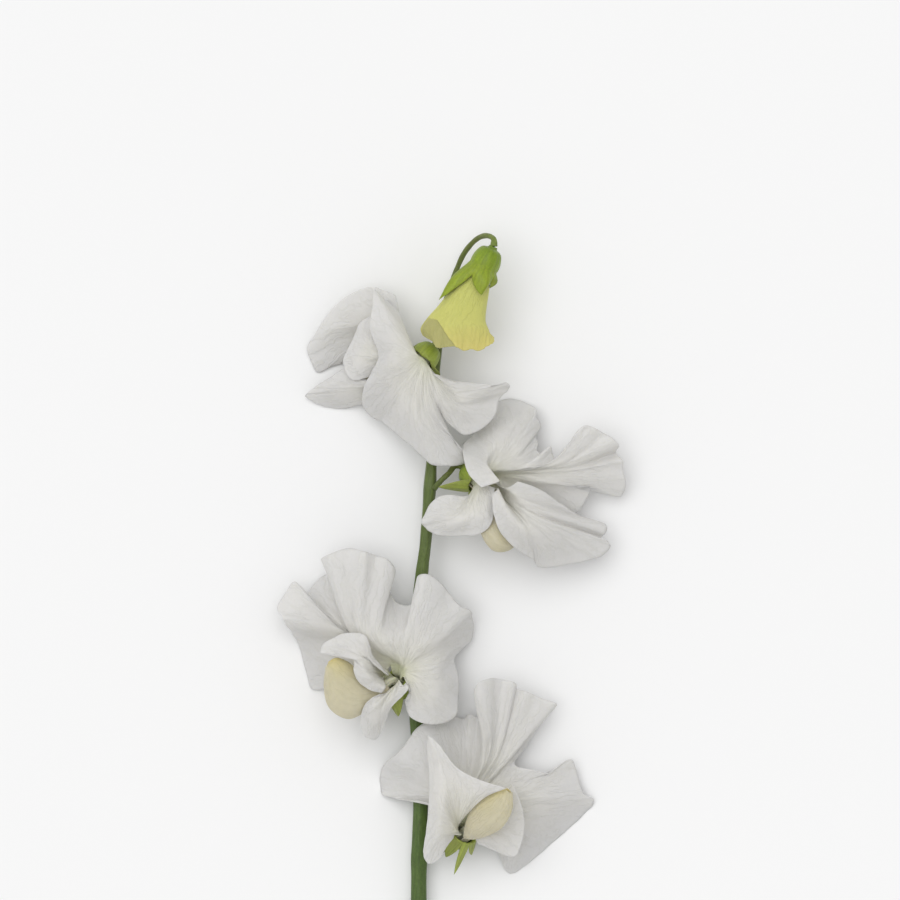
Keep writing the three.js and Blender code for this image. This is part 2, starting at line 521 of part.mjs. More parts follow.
// The calyx's own frame: axis from the stalk to the mouth, and angles about it from the standard side.
function cupFrame({ base, mouth, up }) {
  const origin = point(base);
  const axis = point(mouth).sub(origin).normalize();
  const top = point(up).addScaledVector(axis, -point(up).dot(axis)).normalize();
  const side = axis.clone().cross(top);
  const at = (radius, degrees, height) => {
    const angle = THREE.MathUtils.degToRad(degrees);
    return origin
      .clone()
      .addScaledVector(axis, height)
      .addScaledVector(top, radius * Math.cos(angle))
      .addScaledVector(side, radius * Math.sin(angle));
  };
  return { origin, axis, top, side, at };
}

// A cup with five pointed teeth. Each column runs from the bottom of the cup up its wall and on along
// a tooth: the middle one reaches the tooth's tip, and the others end at the tooth's edge beside it.
function calyx(form) {
  const frame = cupFrame(form);
  const angleOf = (tip) => {
    const away = tip.clone().sub(frame.origin);
    return THREE.MathUtils.radToDeg(Math.atan2(away.dot(frame.side), away.dot(frame.top)));
  };
  const teeth = form.tips.map((tip) => ({ tip: point(tip), degrees: angleOf(point(tip)) }));
  teeth.sort((a, b) => a.degrees - b.degrees);
  const perTooth = CALYX_COLUMNS / teeth.length;
  const columns = Array.from({ length: CALYX_COLUMNS }, (_, j) => {
    const before = teeth[Math.floor(j / perTooth)];
    const after = teeth[(Math.floor(j / perTooth) + 1) % teeth.length];
    const share = (j % perTooth) / perTooth;
    const turn = THREE.MathUtils.euclideanModulo(after.degrees - before.degrees, 360);
    const degrees = before.degrees + turn * share;
    const points = CUP_PROFILE.map(([radius, height]) => frame.at(radius, degrees, height));
    const notch = points.at(-1);
    const endOn = (tooth) => {
      const aside = notch.clone().sub(frame.at(CUP_RADIUS, tooth.degrees, CUP_LENGTH));
      return tooth.tip.clone().addScaledVector(aside, TOOTH_WIDTH);
    };
    const [own, other] = share < 0.5 ? [before, after] : [after, before];
    const off = 1 - Math.abs(2 * share - 1);
    const end = mix(endOn(own), endOn(other), off ** 2 / 2);
    const reach = form.notch + (1 - form.notch) * (1 - off ** TOOTH_FULLNESS);
    const outward = frame.at(form.bow, degrees, 0).sub(frame.origin);
    const middle = mix(notch, end, TOOTH_MIDDLE * reach).addScaledVector(outward, reach);
    return [...points, middle, mix(notch, end, reach)];
  });
  const rows = columns[0].length;
  const grid = Array.from({ length: rows }, (_, i) => [...columns, columns[0]].map((column) => column[i]));
  const normals = gridNormals(grid);
  const ring = (i, sign) =>
    grid[i].slice(0, -1).map((p, j) => p.clone().addScaledVector(normals[i][j], (sign * CALYX_WALL) / 2));
  const indices = Array.from({ length: rows }, (_, i) => i);
  return ringSolid([...indices.map((i) => ring(i, 1)), ...indices.reverse().map((i) => ring(i, -1))]);
}

// ---- Petals --------------------------------------------------------------------------------------

// Arc of angles that a petal's foot covers, given in the order in which its rim is listed.
function footArc(frame, [low, high], firstBladePoint, lastBladePoint) {
  const distance = (from, to) =>
    frame.at(THROAT_RADIUS, from, THROAT_HEIGHT).distanceTo(firstBladePoint) +
    frame.at(THROAT_RADIUS, to, THROAT_HEIGHT).distanceTo(lastBladePoint);
  return distance(low, high) <= distance(high, low) ? [low, high] : [high, low];
}

// Points that the rays pass through halfway out, spread between the few that are given.
function bladeCurve(blade) {
  const curve = spline(blade.map(([, ...numbers]) => point(numbers)));
  return (rimIndex) => {
    let k = 0;
    while (k < blade.length - 2 && rimIndex > blade[k + 1][0]) {
      k += 1;
    }
    const share = (rimIndex - blade[k][0]) / (blade[k + 1][0] - blade[k][0]);
    return curve.getPoint((k + share) / (blade.length - 1));
  };
}

// A point of a petal, moved outwards if it would lie in or against the calyx cup.
function outsideCup(frame, p) {
  const height = p.clone().sub(frame.origin).dot(frame.axis);
  const onAxis = frame.at(0, 0, height);
  const radius = p.distanceTo(onAxis);
  const inside = height < COLLAR_HEIGHT && radius < CUP_KEEP_OUT;
  return inside ? onAxis.lerp(p, CUP_KEEP_OUT / radius) : p;
}

// The grid of points of a petal: one row for each ray, from the foot to the rim.
function petalGrid(frame, { rim, blade }, { arc, collar }) {
  const rimCurve = spline(rim.map(point));
  const bladeAt = bladeCurve(blade);
  const lastIndex = rim.length - 1;
  const [from, to] = footArc(frame, arc, bladeAt(0), bladeAt(lastIndex));
  const rays = Math.round(RIM_STEPS_PER_POINT * rim.length);
  return Array.from({ length: rays + 1 }, (_, i) => {
    const share = i / rays;
    const degrees = from + (to - from) * share;
    const middle = outsideCup(frame, bladeAt(share * lastIndex));
    const edge = outsideCup(frame, rimCurve.getPoint(share));
    const claw = [
      frame.at(FOOT_RADIUS, degrees, FOOT_HEIGHT),
      frame.at(THROAT_RADIUS, degrees, THROAT_HEIGHT),
      frame.at(collar, degrees, COLLAR_HEIGHT),
    ];
    const ray = spline([...claw, middle, edge]);
    const knots = [...claw.keys(), ...BLADE_KNOTS.map((step) => claw.length - 1 + step)];
    return knots.map((knot) => ray.getPoint(knot / (claw.length + 1)));
  });
}

function petal(frame, outline, claw) {
  return sheetSolid(petalGrid(frame, outline, claw), PETAL_THICKNESS);
}

// The claws of the two wings sit on either side of the calyx's axis, each on its own blade's side.
function wingClaws(frame, leftWing, rightWing) {
  const sideways = ({ blade }) => point(blade[Math.floor(blade.length / 2)].slice(1)).dot(frame.side);
  const other = { ...WING_CLAW, arc: WING_CLAW.arc.map((degrees) => -degrees) };
  return sideways(leftWing) > sideways(rightWing) ? [WING_CLAW, other] : [other, WING_CLAW];
}

// ---- Keel, stamen column and pistil --------------------------------------------------------------

// The keel's cross-sections along its length: lowest point, highest point and half width of each.
function keelSections(frame, keel) {
  const foot = (degrees, height) => frame.at(FOOT_RADIUS, degrees, height);
  const ventral = spline([foot(180, FOOT_HEIGHT), foot(180, THROAT_HEIGHT), ...keel.ventral.map(point)]);
  const dorsal = spline([foot(0, FOOT_HEIGHT), foot(0, THROAT_HEIGHT), ...keel.dorsal.map(point)]);
  const halves = [FOOT_RADIUS, FOOT_RADIUS, ...keel.halfWidths];
  const last = halves.length - 1;
  const halfAt = (share) => {
    const k = Math.min(Math.floor(share * last), last - 1);
    return THREE.MathUtils.lerp(halves[k], halves[k + 1], share * last - k);
  };
  return (share) => {
    const low = ventral.getPoint(share);
    const high = dorsal.getPoint(share);
    const along = ventral.getTangent(share).add(dorsal.getTangent(share)).normalize();
    const across = high.clone().sub(low).cross(along).normalize();
    return { low, high, across, middle: mix(low, high, 0.5), half: halfAt(share) };
  };
}

// A boat-shaped pocket, open along its upper seam. At the foot only its lower part is left.
function keelGrid(sectionAt, keel) {
  const steps = Math.round(KEEL_STEPS_PER_SECTION * (keel.ventral.length + 1));
  return Array.from({ length: steps + 1 }, (_, i) => {
    const share = i / steps;
    const { low, middle, across, half } = sectionAt(share);
    const opened = THREE.MathUtils.smoothstep(share * (keel.ventral.length + 1), ...KEEL_CLAW_ENDS);
    const reach = THREE.MathUtils.lerp(THREE.MathUtils.degToRad(KEEL_ARC), Math.PI - KEEL_SLIT, opened);
    const tallest = low.clone().sub(middle);
    return Array.from({ length: KEEL_SIDES + 1 }, (_unused, j) => {
      const angle = reach * ((2 * j) / KEEL_SIDES - 1);
      return middle
        .clone()
        .addScaledVector(tallest, Math.cos(angle))
        .addScaledVector(across, half * Math.sin(angle));
    });
  });
}

// The middle line of the keel's hollow, from inside the calyx to where the pistil ends.
function hollowLine(frame, sectionAt) {
  const claw = [frame.at(0, 0, FOOT_HEIGHT), frame.at(0, 0, THROAT_HEIGHT)];
  return spline([...claw, ...PISTIL_KNOTS.map((share) => sectionAt(PISTIL_REACH * share).middle)]);
}

// A tube of filaments round the pistil.
function stamenColumn(line) {
  const outer = rodRings(line, COLUMN_STEPS, () => COLUMN_RADIUS, ROD_SIDES, COLUMN_SHARE);
  const inner = rodRings(line, COLUMN_STEPS, () => COLUMN_RADIUS - COLUMN_WALL, ROD_SIDES, COLUMN_SHARE);
  return ringSolid([...outer, ...inner.reverse()], true);
}

function pistil(line) {
  return ringSolid(rodRings(line, COLUMN_STEPS, () => PISTIL_RADIUS, PISTIL_SIDES));
}

// ---- Bud -----------------------------------------------------------------------------------------

// An upright ellipse through a left and a right edge point, `depth` above and below them.
function budRing({ left, right, depth }, count) {
  const middle = mix(point(left), point(right), 0.5);
  const across = point(left).sub(middle);
  return Array.from({ length: count }, (_, j) => {
    const angle = (2 * Math.PI * j) / count;
    const height = new THREE.Vector3(0, 0, depth * Math.sin(angle));
    return middle.clone().addScaledVector(across, Math.cos(angle)).add(height);
  });
}

// The bud's folded petals, packed tight: a bell that widens from the calyx's throat to its lower rim.
function budPetals(frame) {
  const rim = BUD.rim.map(point);
  const count = rim.length;
  const middle = rim.reduce((sum, p) => sum.add(p), new THREE.Vector3()).divideScalar(count);
  const inCup = (radius, height) => rim.map((_, j) => frame.at(radius, 90 - (360 * j) / count, height));
  return ringSolid([
    inCup(BUD_FOOT_RADIUS, BUD_FOOT_HEIGHT),
    inCup(BUD_THROAT_RADIUS, CUP_LENGTH),
    ...BUD.body.map((section) => budRing(section, count)),
    rim,
    rim.map((p) => mix(p, middle, BUD_LIP).addScaledVector(frame.axis, BUD_LIP_RISE)),
  ]);
}

// ---- The whole spray -----------------------------------------------------------------------------

const COLOURS = {
  stem: { color: 0x5c8a38, roughness: 0.55 },
  stalk: { color: 0x6b8a3c, roughness: 0.55 },
  calyx: { color: 0x7fa03c, roughness: 0.6 },
  budCalyx: { color: 0x98b53a, roughness: 0.6 },
  petal: { color: 0xe9e8e4, roughness: 0.75 },
  keel: { color: 0xefe6b8, roughness: 0.75 },
  budPetal: { color: 0xd3d47c, roughness: 0.7 },
  column: { color: 0xe6e8c8, roughness: 0.7 },
  pistil: { color: 0xb9cc7a, roughness: 0.7 },
};

function meshOf(name, kind, geometry) {
  const mesh = new THREE.Mesh(geometry, new THREE.MeshStandardMaterial({ ...COLOURS[kind], metalness: 0 }));
  mesh.name = name;
  return mesh;
}

function budMeshes() {
  const frame = cupFrame(BUD.calyx);
  return [
    meshOf("pedicel_5", "stalk", stalk(BUD.stalk, frame)),
    meshOf("calyx_5", "budCalyx", calyx(BUD.calyx)),
    meshOf("bud_petals", "budPetal", budPetals(frame)),
  ];
}

function flowerMeshes([number, flower]) {
  const frame = cupFrame(flower.calyx);
  const sectionAt = keelSections(frame, flower.keel);
  const hollow = hollowLine(frame, sectionAt);
  const [leftClaw, rightClaw] = wingClaws(frame, flower.leftWing, flower.rightWing);
  return [
    meshOf(`pedicel_${number}`, "stalk", stalk(flower.stalk, frame)),
    meshOf(`calyx_${number}`, "calyx", calyx(flower.calyx)),
    meshOf(`standard_${number}`, "petal", petal(frame, flower.standard, STANDARD_CLAW)),
    meshOf(`left_wing_${number}`, "petal", petal(frame, flower.leftWing, leftClaw)),
    meshOf(`right_wing_${number}`, "petal", petal(frame, flower.rightWing, rightClaw)),
    meshOf(`keel_${number}`, "keel", sheetSolid(keelGrid(sectionAt, flower.keel), KEEL_THICKNESS)),
    meshOf(`stamen_column_${number}`, "column", stamenColumn(hollow)),
    meshOf(`pistil_${number}`, "pistil", pistil(hollow)),
  ];
}

const flowers = Object.entries({ 1: FLOWER_1, 2: FLOWER_2, 3: FLOWER_3, 4: FLOWER_4 });
const spray = new THREE.Group();
spray.add(meshOf("stem", "stem", stem()), ...flowers.flatMap(flowerMeshes), ...budMeshes());

// The origin lies on the surface, at the middle of the spray's footprint.
const extent = new THREE.Box3().setFromObject(spray);
const middle = extent.getCenter(new THREE.Vector3());
spray.position.set(-middle.x, -middle.y, -extent.min.z);

export default spray;
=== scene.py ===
# A white sweet pea spray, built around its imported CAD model: four open flowers, a bud, their stem.
#
# The shapes are laid out in a plan frame in millimetres, as in the CAD source: X across the stem,
# Y along it towards the tip, Z up from the surface. to_row() carries plan points into the row's frame.

import math

import bpy
import numpy as np
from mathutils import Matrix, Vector


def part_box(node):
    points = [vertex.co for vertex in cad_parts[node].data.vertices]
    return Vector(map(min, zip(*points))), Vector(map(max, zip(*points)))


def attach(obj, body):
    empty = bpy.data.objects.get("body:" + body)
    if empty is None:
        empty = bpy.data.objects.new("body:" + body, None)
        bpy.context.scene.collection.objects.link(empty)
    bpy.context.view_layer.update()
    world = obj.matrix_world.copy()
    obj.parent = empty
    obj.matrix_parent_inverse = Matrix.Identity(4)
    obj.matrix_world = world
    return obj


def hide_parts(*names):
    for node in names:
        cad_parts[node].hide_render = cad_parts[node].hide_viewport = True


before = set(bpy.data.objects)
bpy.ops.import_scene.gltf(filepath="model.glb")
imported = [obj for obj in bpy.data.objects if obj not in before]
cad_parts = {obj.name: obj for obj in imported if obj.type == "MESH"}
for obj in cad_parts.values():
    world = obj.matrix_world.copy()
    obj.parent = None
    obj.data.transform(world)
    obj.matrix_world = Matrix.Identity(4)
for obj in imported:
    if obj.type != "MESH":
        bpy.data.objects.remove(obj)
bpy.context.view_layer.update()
MM = 0.001


# ---- Where the organs lie, in the plan frame ------------------------------------------------------

STEM_LINE = [
    (0.3, -62, 1.9), (0.2, -30, 2.6), (0.15, 0, 3.6), (0.3, 12, 4.2), (0.6, 24, 4.8), (-0.2, 40, 5.5),
    (-0.3, 52, 6), (0.2, 67, 6.6), (1, 75, 6.8), (1.6, 80, 6.9), (2.9, 97, 7.2), (3.5, 108, 7.2),
    (3.9, 118, 7), (4.4, 125, 6.7), (5.2, 130.5, 6.2),
]

STALKS = {
    1: [
        (4.5, 124.4, 8.1), (5.1, 125.7, 8.6), (4.7, 125.6, 9.2),
    ],
    2: [
        (3.6, 92.6, 8.1), (5.2, 94.4, 8.8), (6.9, 96, 8.4), (8.4, 97.6, 6.9),
    ],
    3: [
        (-0.4, 41, 7.6), (-1, 43.6, 8), (-1.6, 45.3, 7.4),
    ],
    4: [
        (1.9, 9.4, 4.6), (4.2, 10.3, 4.9), (6.4, 11.5, 5.2),
    ],
    5: [
        (5.3, 131.3, 6.1), (6.4, 135.5, 5.8), (8.3, 141, 5.9), (10.5, 145.8, 7.4), (13.4, 148.9, 10.4),
        (15.8, 149.4, 14), (17, 148.5, 15.6),
    ],
}

FLOWER_1 = {
    "calyx": {
        "base": (3.5, 124.5, 9.6),
        "mouth": (1.2, 121.9, 11.6),
        "up": (0, 0, 1),
        "notch": 0.05,
        "bow": 0,
        "tips": [
            (5, 118.2, 12.8), (0.8, 122.4, 14.6), (-2.6, 125.9, 12.2), (-3.6, 122.6, 8.4), (1.8, 117, 8.8),
        ],
    },
    "standard": {
        "rim": [
            (-13, 119.2, 1.2), (-17, 120.6, 1), (-20, 119.9, 0.8), (-22.8, 118.8, 0.6), (-24.1, 121, 1),
            (-25.1, 124.3, 2), (-23.2, 127.6, 3.4), (-20.6, 131.6, 4.4), (-17.2, 135.2, 5.5),
            (-13.4, 137.3, 7), (-10.2, 138, 9), (-7.6, 137.2, 8.6), (-5, 135.8, 8.4), (-7.5, 135.2, 10.4),
            (-9.7, 137.4, 13), (-10.3, 133, 14.2), (-10.9, 128.8, 14.4), (-9.6, 125, 14),
            (-8.9, 122.3, 13.2), (-10.2, 119.3, 12), (-11.9, 116, 9.8), (-12.7, 112.8, 7),
            (-12.1, 110.3, 5), (-10.4, 108.4, 4.6), (-8, 107.3, 5.6), (-5, 105, 8), (-1.5, 102.2, 10.6),
            (0.8, 99.8, 12), (3, 98, 12.4), (7, 97.6, 12.2), (10.6, 98.4, 10.2), (10.8, 99.9, 10),
            (8.8, 102.4, 12.2), (6.9, 105.4, 12.8), (5.1, 109.3, 13.4), (7.9, 106.4, 12.8),
            (10.5, 104.6, 12), (13, 105.2, 11.6), (15.4, 106.7, 11.4), (17.6, 109.4, 11),
            (18.3, 112.6, 11.2), (19.4, 114, 11.6), (20.7, 115.3, 12.8), (20, 116.3, 14.2),
            (18, 115.8, 14.6), (14.5, 116.1, 14.6), (10.5, 116.6, 14.8), (7, 117.2, 15), (5.2, 117.8, 15.2),
        ],
        "blade": [
            (0, -5.6, 129.4, 8.6), (3, -10, 128.2, 4.8), (7, -10.2, 130.4, 6.6), (10, -6.4, 132, 10.6),
            (12, -3.3, 129.8, 12.4), (14, -4.6, 129.2, 15.4), (17, -5, 124, 17), (20, -5.5, 119, 16.5),
            (23, -5, 114.8, 14.8), (26, -2, 111.8, 15.6), (29, 1.2, 110, 16.2), (32, 3, 111, 16.6),
            (34, 3.8, 113.2, 16.2), (37, 7, 111.8, 16), (41, 9.2, 112.6, 15.4), (44, 8, 114.8, 15.6),
            (48, 3.4, 118.4, 16.4),
        ],
    },
    "left_wing": {
        "rim": [
            (-9, 115.9, 8.8), (-13, 117.2, 7.6), (-16.6, 119.6, 6.2), (-19.3, 118, 4.8),
            (-22.3, 116.1, 3.6), (-24.8, 114.3, 2.6), (-25.6, 113.4, 2), (-24, 112.3, 1.4),
            (-21, 111.2, 0.8), (-17, 110.6, 0.8), (-14, 111.3, 1.4), (-10, 113, 4), (-6, 115.6, 7.5),
        ],
        "blade": [
            (0, -4.8, 115.6, 11.8), (3, -10.5, 115.8, 8.6), (6, -14, 114.6, 6.2), (9, -10, 112.8, 5),
            (12, -4, 114, 10.2),
        ],
    },
    "right_wing": {
        "rim": [
            (-5.5, 124.8, 11), (-8.2, 128.8, 10.8), (-10.4, 131.2, 9.8), (-13, 130, 8.4), (-14.4, 127, 7.8),
            (-15.6, 124.2, 7.6), (-16.9, 121.6, 7.8), (-16.2, 118.6, 8.2), (-14.6, 117, 8.2),
            (-12, 117.4, 8.9), (-9, 118.6, 9.8), (-6, 119.6, 10.8),
        ],
        "blade": [
            (0, -4.6, 122.9, 12.4), (3, -10.2, 125.8, 11), (6, -12.6, 121.8, 10.2), (9, -9.2, 119.9, 10.4),
            (11, -5.2, 120.4, 11.4),
        ],
    },
    "keel": {
        "ventral": [
            (-2.6, 118.5, 8.4), (-5.6, 118, 6.4), (-9.4, 118.2, 4.8), (-13, 118.9, 3.8),
            (-15.2, 120.2, 3.8),
        ],
        "dorsal": [
            (-1.6, 120.8, 13.2), (-5, 119.8, 10.4), (-9.2, 119.9, 8.4), (-12.4, 120.2, 6.6),
            (-14.8, 120.9, 5.2),
        ],
        "half_widths": (1.6, 2, 2.1, 1.7, 0.5),
    },
}

FLOWER_2 = {
    "calyx": {
        "base": (10.4, 97.3, 6.6),
        "mouth": (13.6, 94.3, 9),
        "up": (0.35, 0.9, 0.25),
        "notch": 0.05,
        "bow": 0,
        "tips": [
            (4.6, 92.9, 9.6), (13.2, 89.8, 6.6), (12.6, 99, 12.4), (14.6, 101, 6.4), (18.6, 95.4, 4.8),
        ],
    },
    "standard": {
        "rim": [
            (14.2, 92.9, 18), (11.4, 95.8, 16.4), (10.2, 99.8, 13.2), (10.2, 102.6, 8), (12.3, 104.7, 5),
            (13.2, 107.2, 2.6), (15.2, 110.4, 1.2), (18.2, 112.3, 0.6), (22, 112.7, 0.8),
            (25.2, 111.6, 2.2), (26.8, 110.4, 4.2), (26.5, 109, 4.8), (27.6, 107, 4), (26.5, 104.8, 5),
            (27.1, 102.6, 6), (26.8, 101.2, 7), (27.8, 100.4, 7.6), (28.9, 100.6, 9), (29.9, 102.1, 10.2),
            (30.3, 100.3, 9.8), (31.2, 98.7, 9.8), (33.2, 99.6, 10), (34.5, 101.3, 9.6),
            (35.5, 104.8, 11.6), (37.2, 106.7, 12.6), (39.3, 106.5, 11.4), (42, 104.9, 9.6),
            (44.2, 103.6, 10.4), (45.3, 102.3, 9.2), (44.7, 100.5, 6.6), (46.2, 98.9, 8.8),
            (46.3, 96.6, 7.4), (46.9, 94.3, 6.2), (46.6, 92, 4.4), (45.4, 90.7, 3.4), (42.5, 91.9, 5.2),
            (38.6, 93, 8.8), (38.9, 92.2, 7.2), (38, 90.2, 6), (35.8, 87, 5), (30, 88, 5),
            (23.5, 90.3, 6.4),
        ],
        "blade": [
            (0, 18.2, 94.3, 18.6), (3, 15.4, 98.4, 14.4), (6, 17.2, 101.5, 10.6), (9, 20, 102, 10.4),
            (12, 21.8, 100.4, 10.8), (15, 22.5, 98.4, 11.8), (18, 24, 97.7, 12.6), (20, 26, 97.2, 12.8),
            (23, 29, 98, 12.8), (27, 32, 97.7, 12.2), (31, 32, 95.7, 11.4), (35, 28, 94, 11),
            (37, 26, 93.4, 9.4), (39, 24, 92, 8), (41, 19.2, 92.4, 8.2),
        ],
    },
    "left_wing": {
        "rim": [
            (13.4, 91.4, 12.6), (10, 90.6, 13.4), (5.5, 91.1, 13.2), (2.8, 89.3, 12.6), (1.5, 86.6, 12.2),
            (0.8, 84.9, 12.2), (1.8, 83.5, 12.2), (4, 82.2, 12.6), (9, 82, 13.4), (13.6, 82.3, 15.6),
            (16, 84, 17), (17, 86.5, 16.8), (17.1, 90, 16.4), (17.2, 92.8, 14.8),
        ],
        "blade": [
            (0, 14, 92.2, 12.6), (3, 9, 88.6, 15.2), (6, 9, 86.4, 15.8), (9, 13, 86.8, 17),
            (11, 15.4, 89.4, 16.8), (13, 15.9, 93.2, 14.2),
        ],
    },
    "right_wing": {
        "rim": [
            (16.6, 91.4, 18.6), (17, 87, 18.8), (18.5, 82.8, 17.8), (21.2, 79.8, 16.6), (24, 77.7, 14.6),
            (26, 76.6, 13), (26.8, 75, 11.4), (30, 74.8, 10.4), (35, 75.7, 9), (39, 76.5, 8),
            (42, 77.7, 7.2), (43.4, 79.6, 7), (42.6, 80.7, 7.6), (41.3, 81.4, 6.4), (42.3, 82.6, 7.2),
            (42.2, 84.3, 6.6), (39, 85.5, 7.6), (35.5, 87, 8.6), (32, 89.4, 10.6), (27, 92.6, 13),
            (22.4, 94.2, 14.8),
        ],
        "blade": [
            (0, 17.9, 92.4, 17.4), (2, 20.4, 87.2, 19.2), (4, 24, 83.6, 19), (6, 24.8, 84, 18.6),
            (9, 25, 85.6, 18.2), (12, 24.8, 87.2, 17.6), (13, 24.2, 88, 17), (15, 23.8, 89.2, 16.8),
            (17, 22.6, 90.8, 16.6), (20, 20.2, 92.8, 15.4),
        ],
    },
    "keel": {
        "ventral": [
            (14.5, 89.2, 12.2), (14.2, 86, 13.6), (14.6, 82.6, 14.4), (17.2, 79, 14.4), (20.4, 79, 13.8),
            (23, 81.2, 13.4),
        ],
        "dorsal": [
            (17.2, 91.2, 12.8), (18.3, 88.8, 13.2), (19.2, 86, 13.2), (20.2, 84, 13.2), (21.6, 82.8, 13.2),
            (23.2, 82, 13.2),
        ],
        "half_widths": (1.9, 1.8, 2.3, 2.4, 1.6, 0.5),
    },
}

FLOWER_3 = {
    "calyx": {
        "base": (-2.4, 46.6, 7.6),
        "mouth": (-4.9, 48.7, 10.4),
        "up": (0.5, 0.8, 0.1),
        "notch": 0.05,
        "bow": 0,
        "tips": [
            (-4.5, 41.2, 9), (-9.5, 43.6, 7.2), (-6.6, 48.6, 2.8), (-5, 54.6, 5), (1.8, 50.6, 8.9),
        ],
    },
    "standard": {
        "rim": [
            (-13, 46.5, 5), (-21, 47.2, 1.6), (-24, 47.2, 0.7), (-25.3, 51, 0.6), (-27, 57, 1),
            (-28.8, 60.5, 3.2), (-29.6, 62.3, 7.6), (-30.6, 63.6, 9.4), (-31.8, 65.7, 8.2),
            (-29.9, 69, 7.2), (-28, 71.6, 7.8), (-26.2, 70.3, 8.2), (-25, 68.4, 7.2), (-25.6, 67.3, 4.4),
            (-24.2, 70.2, 2.2), (-21.8, 72.6, 1.6), (-19, 73.6, 3), (-18.6, 74.4, 6.8), (-21.8, 76.6, 10.6),
            (-20, 77.8, 12.2), (-15.5, 79.2, 11.2), (-12, 78.4, 12.6), (-9.5, 77.6, 11.2), (-7, 76.9, 12),
            (-5, 74.2, 10.4), (-6.6, 70.6, 9), (-5.4, 67.4, 9), (-2.6, 66.3, 9.6), (-0.6, 67.5, 10.6),
            (-0.3, 72.6, 12), (1.8, 73.4, 13.4), (4.2, 72.2, 12.6), (7, 69, 10.6), (9.5, 66.2, 10.2),
            (11.6, 65.2, 9), (12, 63.9, 6.4), (12.7, 61.2, 3.2), (12, 58, 2.6), (9.4, 56, 4.8),
            (8.2, 54, 7), (9.2, 50, 7.8), (9, 45, 8.6), (8.2, 41.2, 9.6), (5, 39.6, 11), (1, 39.8, 12),
            (-1.8, 41.3, 11.6), (-3, 45, 11.2), (-3.4, 47.3, 11),
        ],
        "blade": [
            (0, -8.8, 47.4, 8.2), (3, -15, 50.4, 5.4), (5, -17, 56.4, 5.4), (7, -18.5, 60.6, 9.4),
            (9, -18.6, 62, 9.4), (12, -18, 61.4, 9.4), (13, -17.2, 61.4, 8.8), (16, -16, 61.2, 9.4),
            (18, -15, 60.4, 12.4), (21, -12.4, 60.4, 15), (24, -8.4, 59.4, 15.6), (27, -5, 58.4, 14.8),
            (30, -1.5, 58.6, 14.6), (33, 2, 57.8, 14.4), (36, 4, 55.5, 12.2), (39, 3.5, 51.5, 13.2),
            (42, 2.5, 46, 13.6), (45, -0.8, 45, 12.8), (47, -3.6, 48.3, 11.6),
        ],
    },
    "left_wing": {
        "rim": [
            (-7, 51, 13.8), (-8.6, 53, 15.2), (-10.4, 55.8, 16.4), (-11.6, 59.4, 16.6), (-15, 60.2, 15.8),
            (-18.5, 59.4, 14.8), (-21.6, 57.4, 14), (-21.9, 55.6, 14), (-19.6, 55.3, 15.6),
            (-16.6, 55.3, 17.2), (-14.5, 54.2, 18.2), (-14.3, 51.6, 18.6), (-13, 49, 18.2),
            (-10.4, 47.2, 18.2), (-8.2, 46.7, 16.8),
        ],
        "blade": [
            (0, -6.7, 50.6, 14.3), (2, -10, 53.4, 17.2), (4, -11.6, 55, 18.4), (6, -12.6, 55, 19),
            (9, -12.4, 53.2, 19.6), (12, -10.6, 49.8, 18.8), (14, -7.4, 47.7, 17),
        ],
    },
    "right_wing": {
        "rim": [
            (-2.8, 49, 14.4), (-2.1, 47.8, 14.8), (-3.4, 46, 15.2), (-6, 43.5, 15.6), (-7.2, 40.5, 14.6),
            (-8.3, 37.6, 12.6), (-9.8, 36, 11.6), (-11.8, 36.9, 12), (-12.9, 40, 14.2), (-12.3, 43.3, 17.2),
            (-10.8, 45.3, 18.2), (-8.6, 46.2, 17.4),
        ],
        "blade": [
            (0, -3.8, 48.6, 14.2), (3, -5.6, 45.8, 16.2), (6, -8.8, 42.6, 17.2), (9, -9.4, 44.4, 18),
            (11, -7.4, 46.6, 15.8),
        ],
    },
    "keel": {
        "ventral": [
            (-7.7, 46.4, 12), (-10.6, 43.8, 14.2), (-15.4, 41.4, 15.6), (-19.6, 43.8, 16),
            (-20.9, 48.4, 15.8), (-20.7, 52.2, 15.4),
        ],
        "dorsal": [
            (-7.3, 49.4, 12), (-10.4, 50, 13.6), (-13.4, 51.9, 14.4), (-16.2, 54, 14.8), (-18.4, 54.6, 15),
            (-20, 53.6, 15.2),
        ],
        "half_widths": (2, 1.8, 2.4, 2.6, 2, 0.9),
    },
}

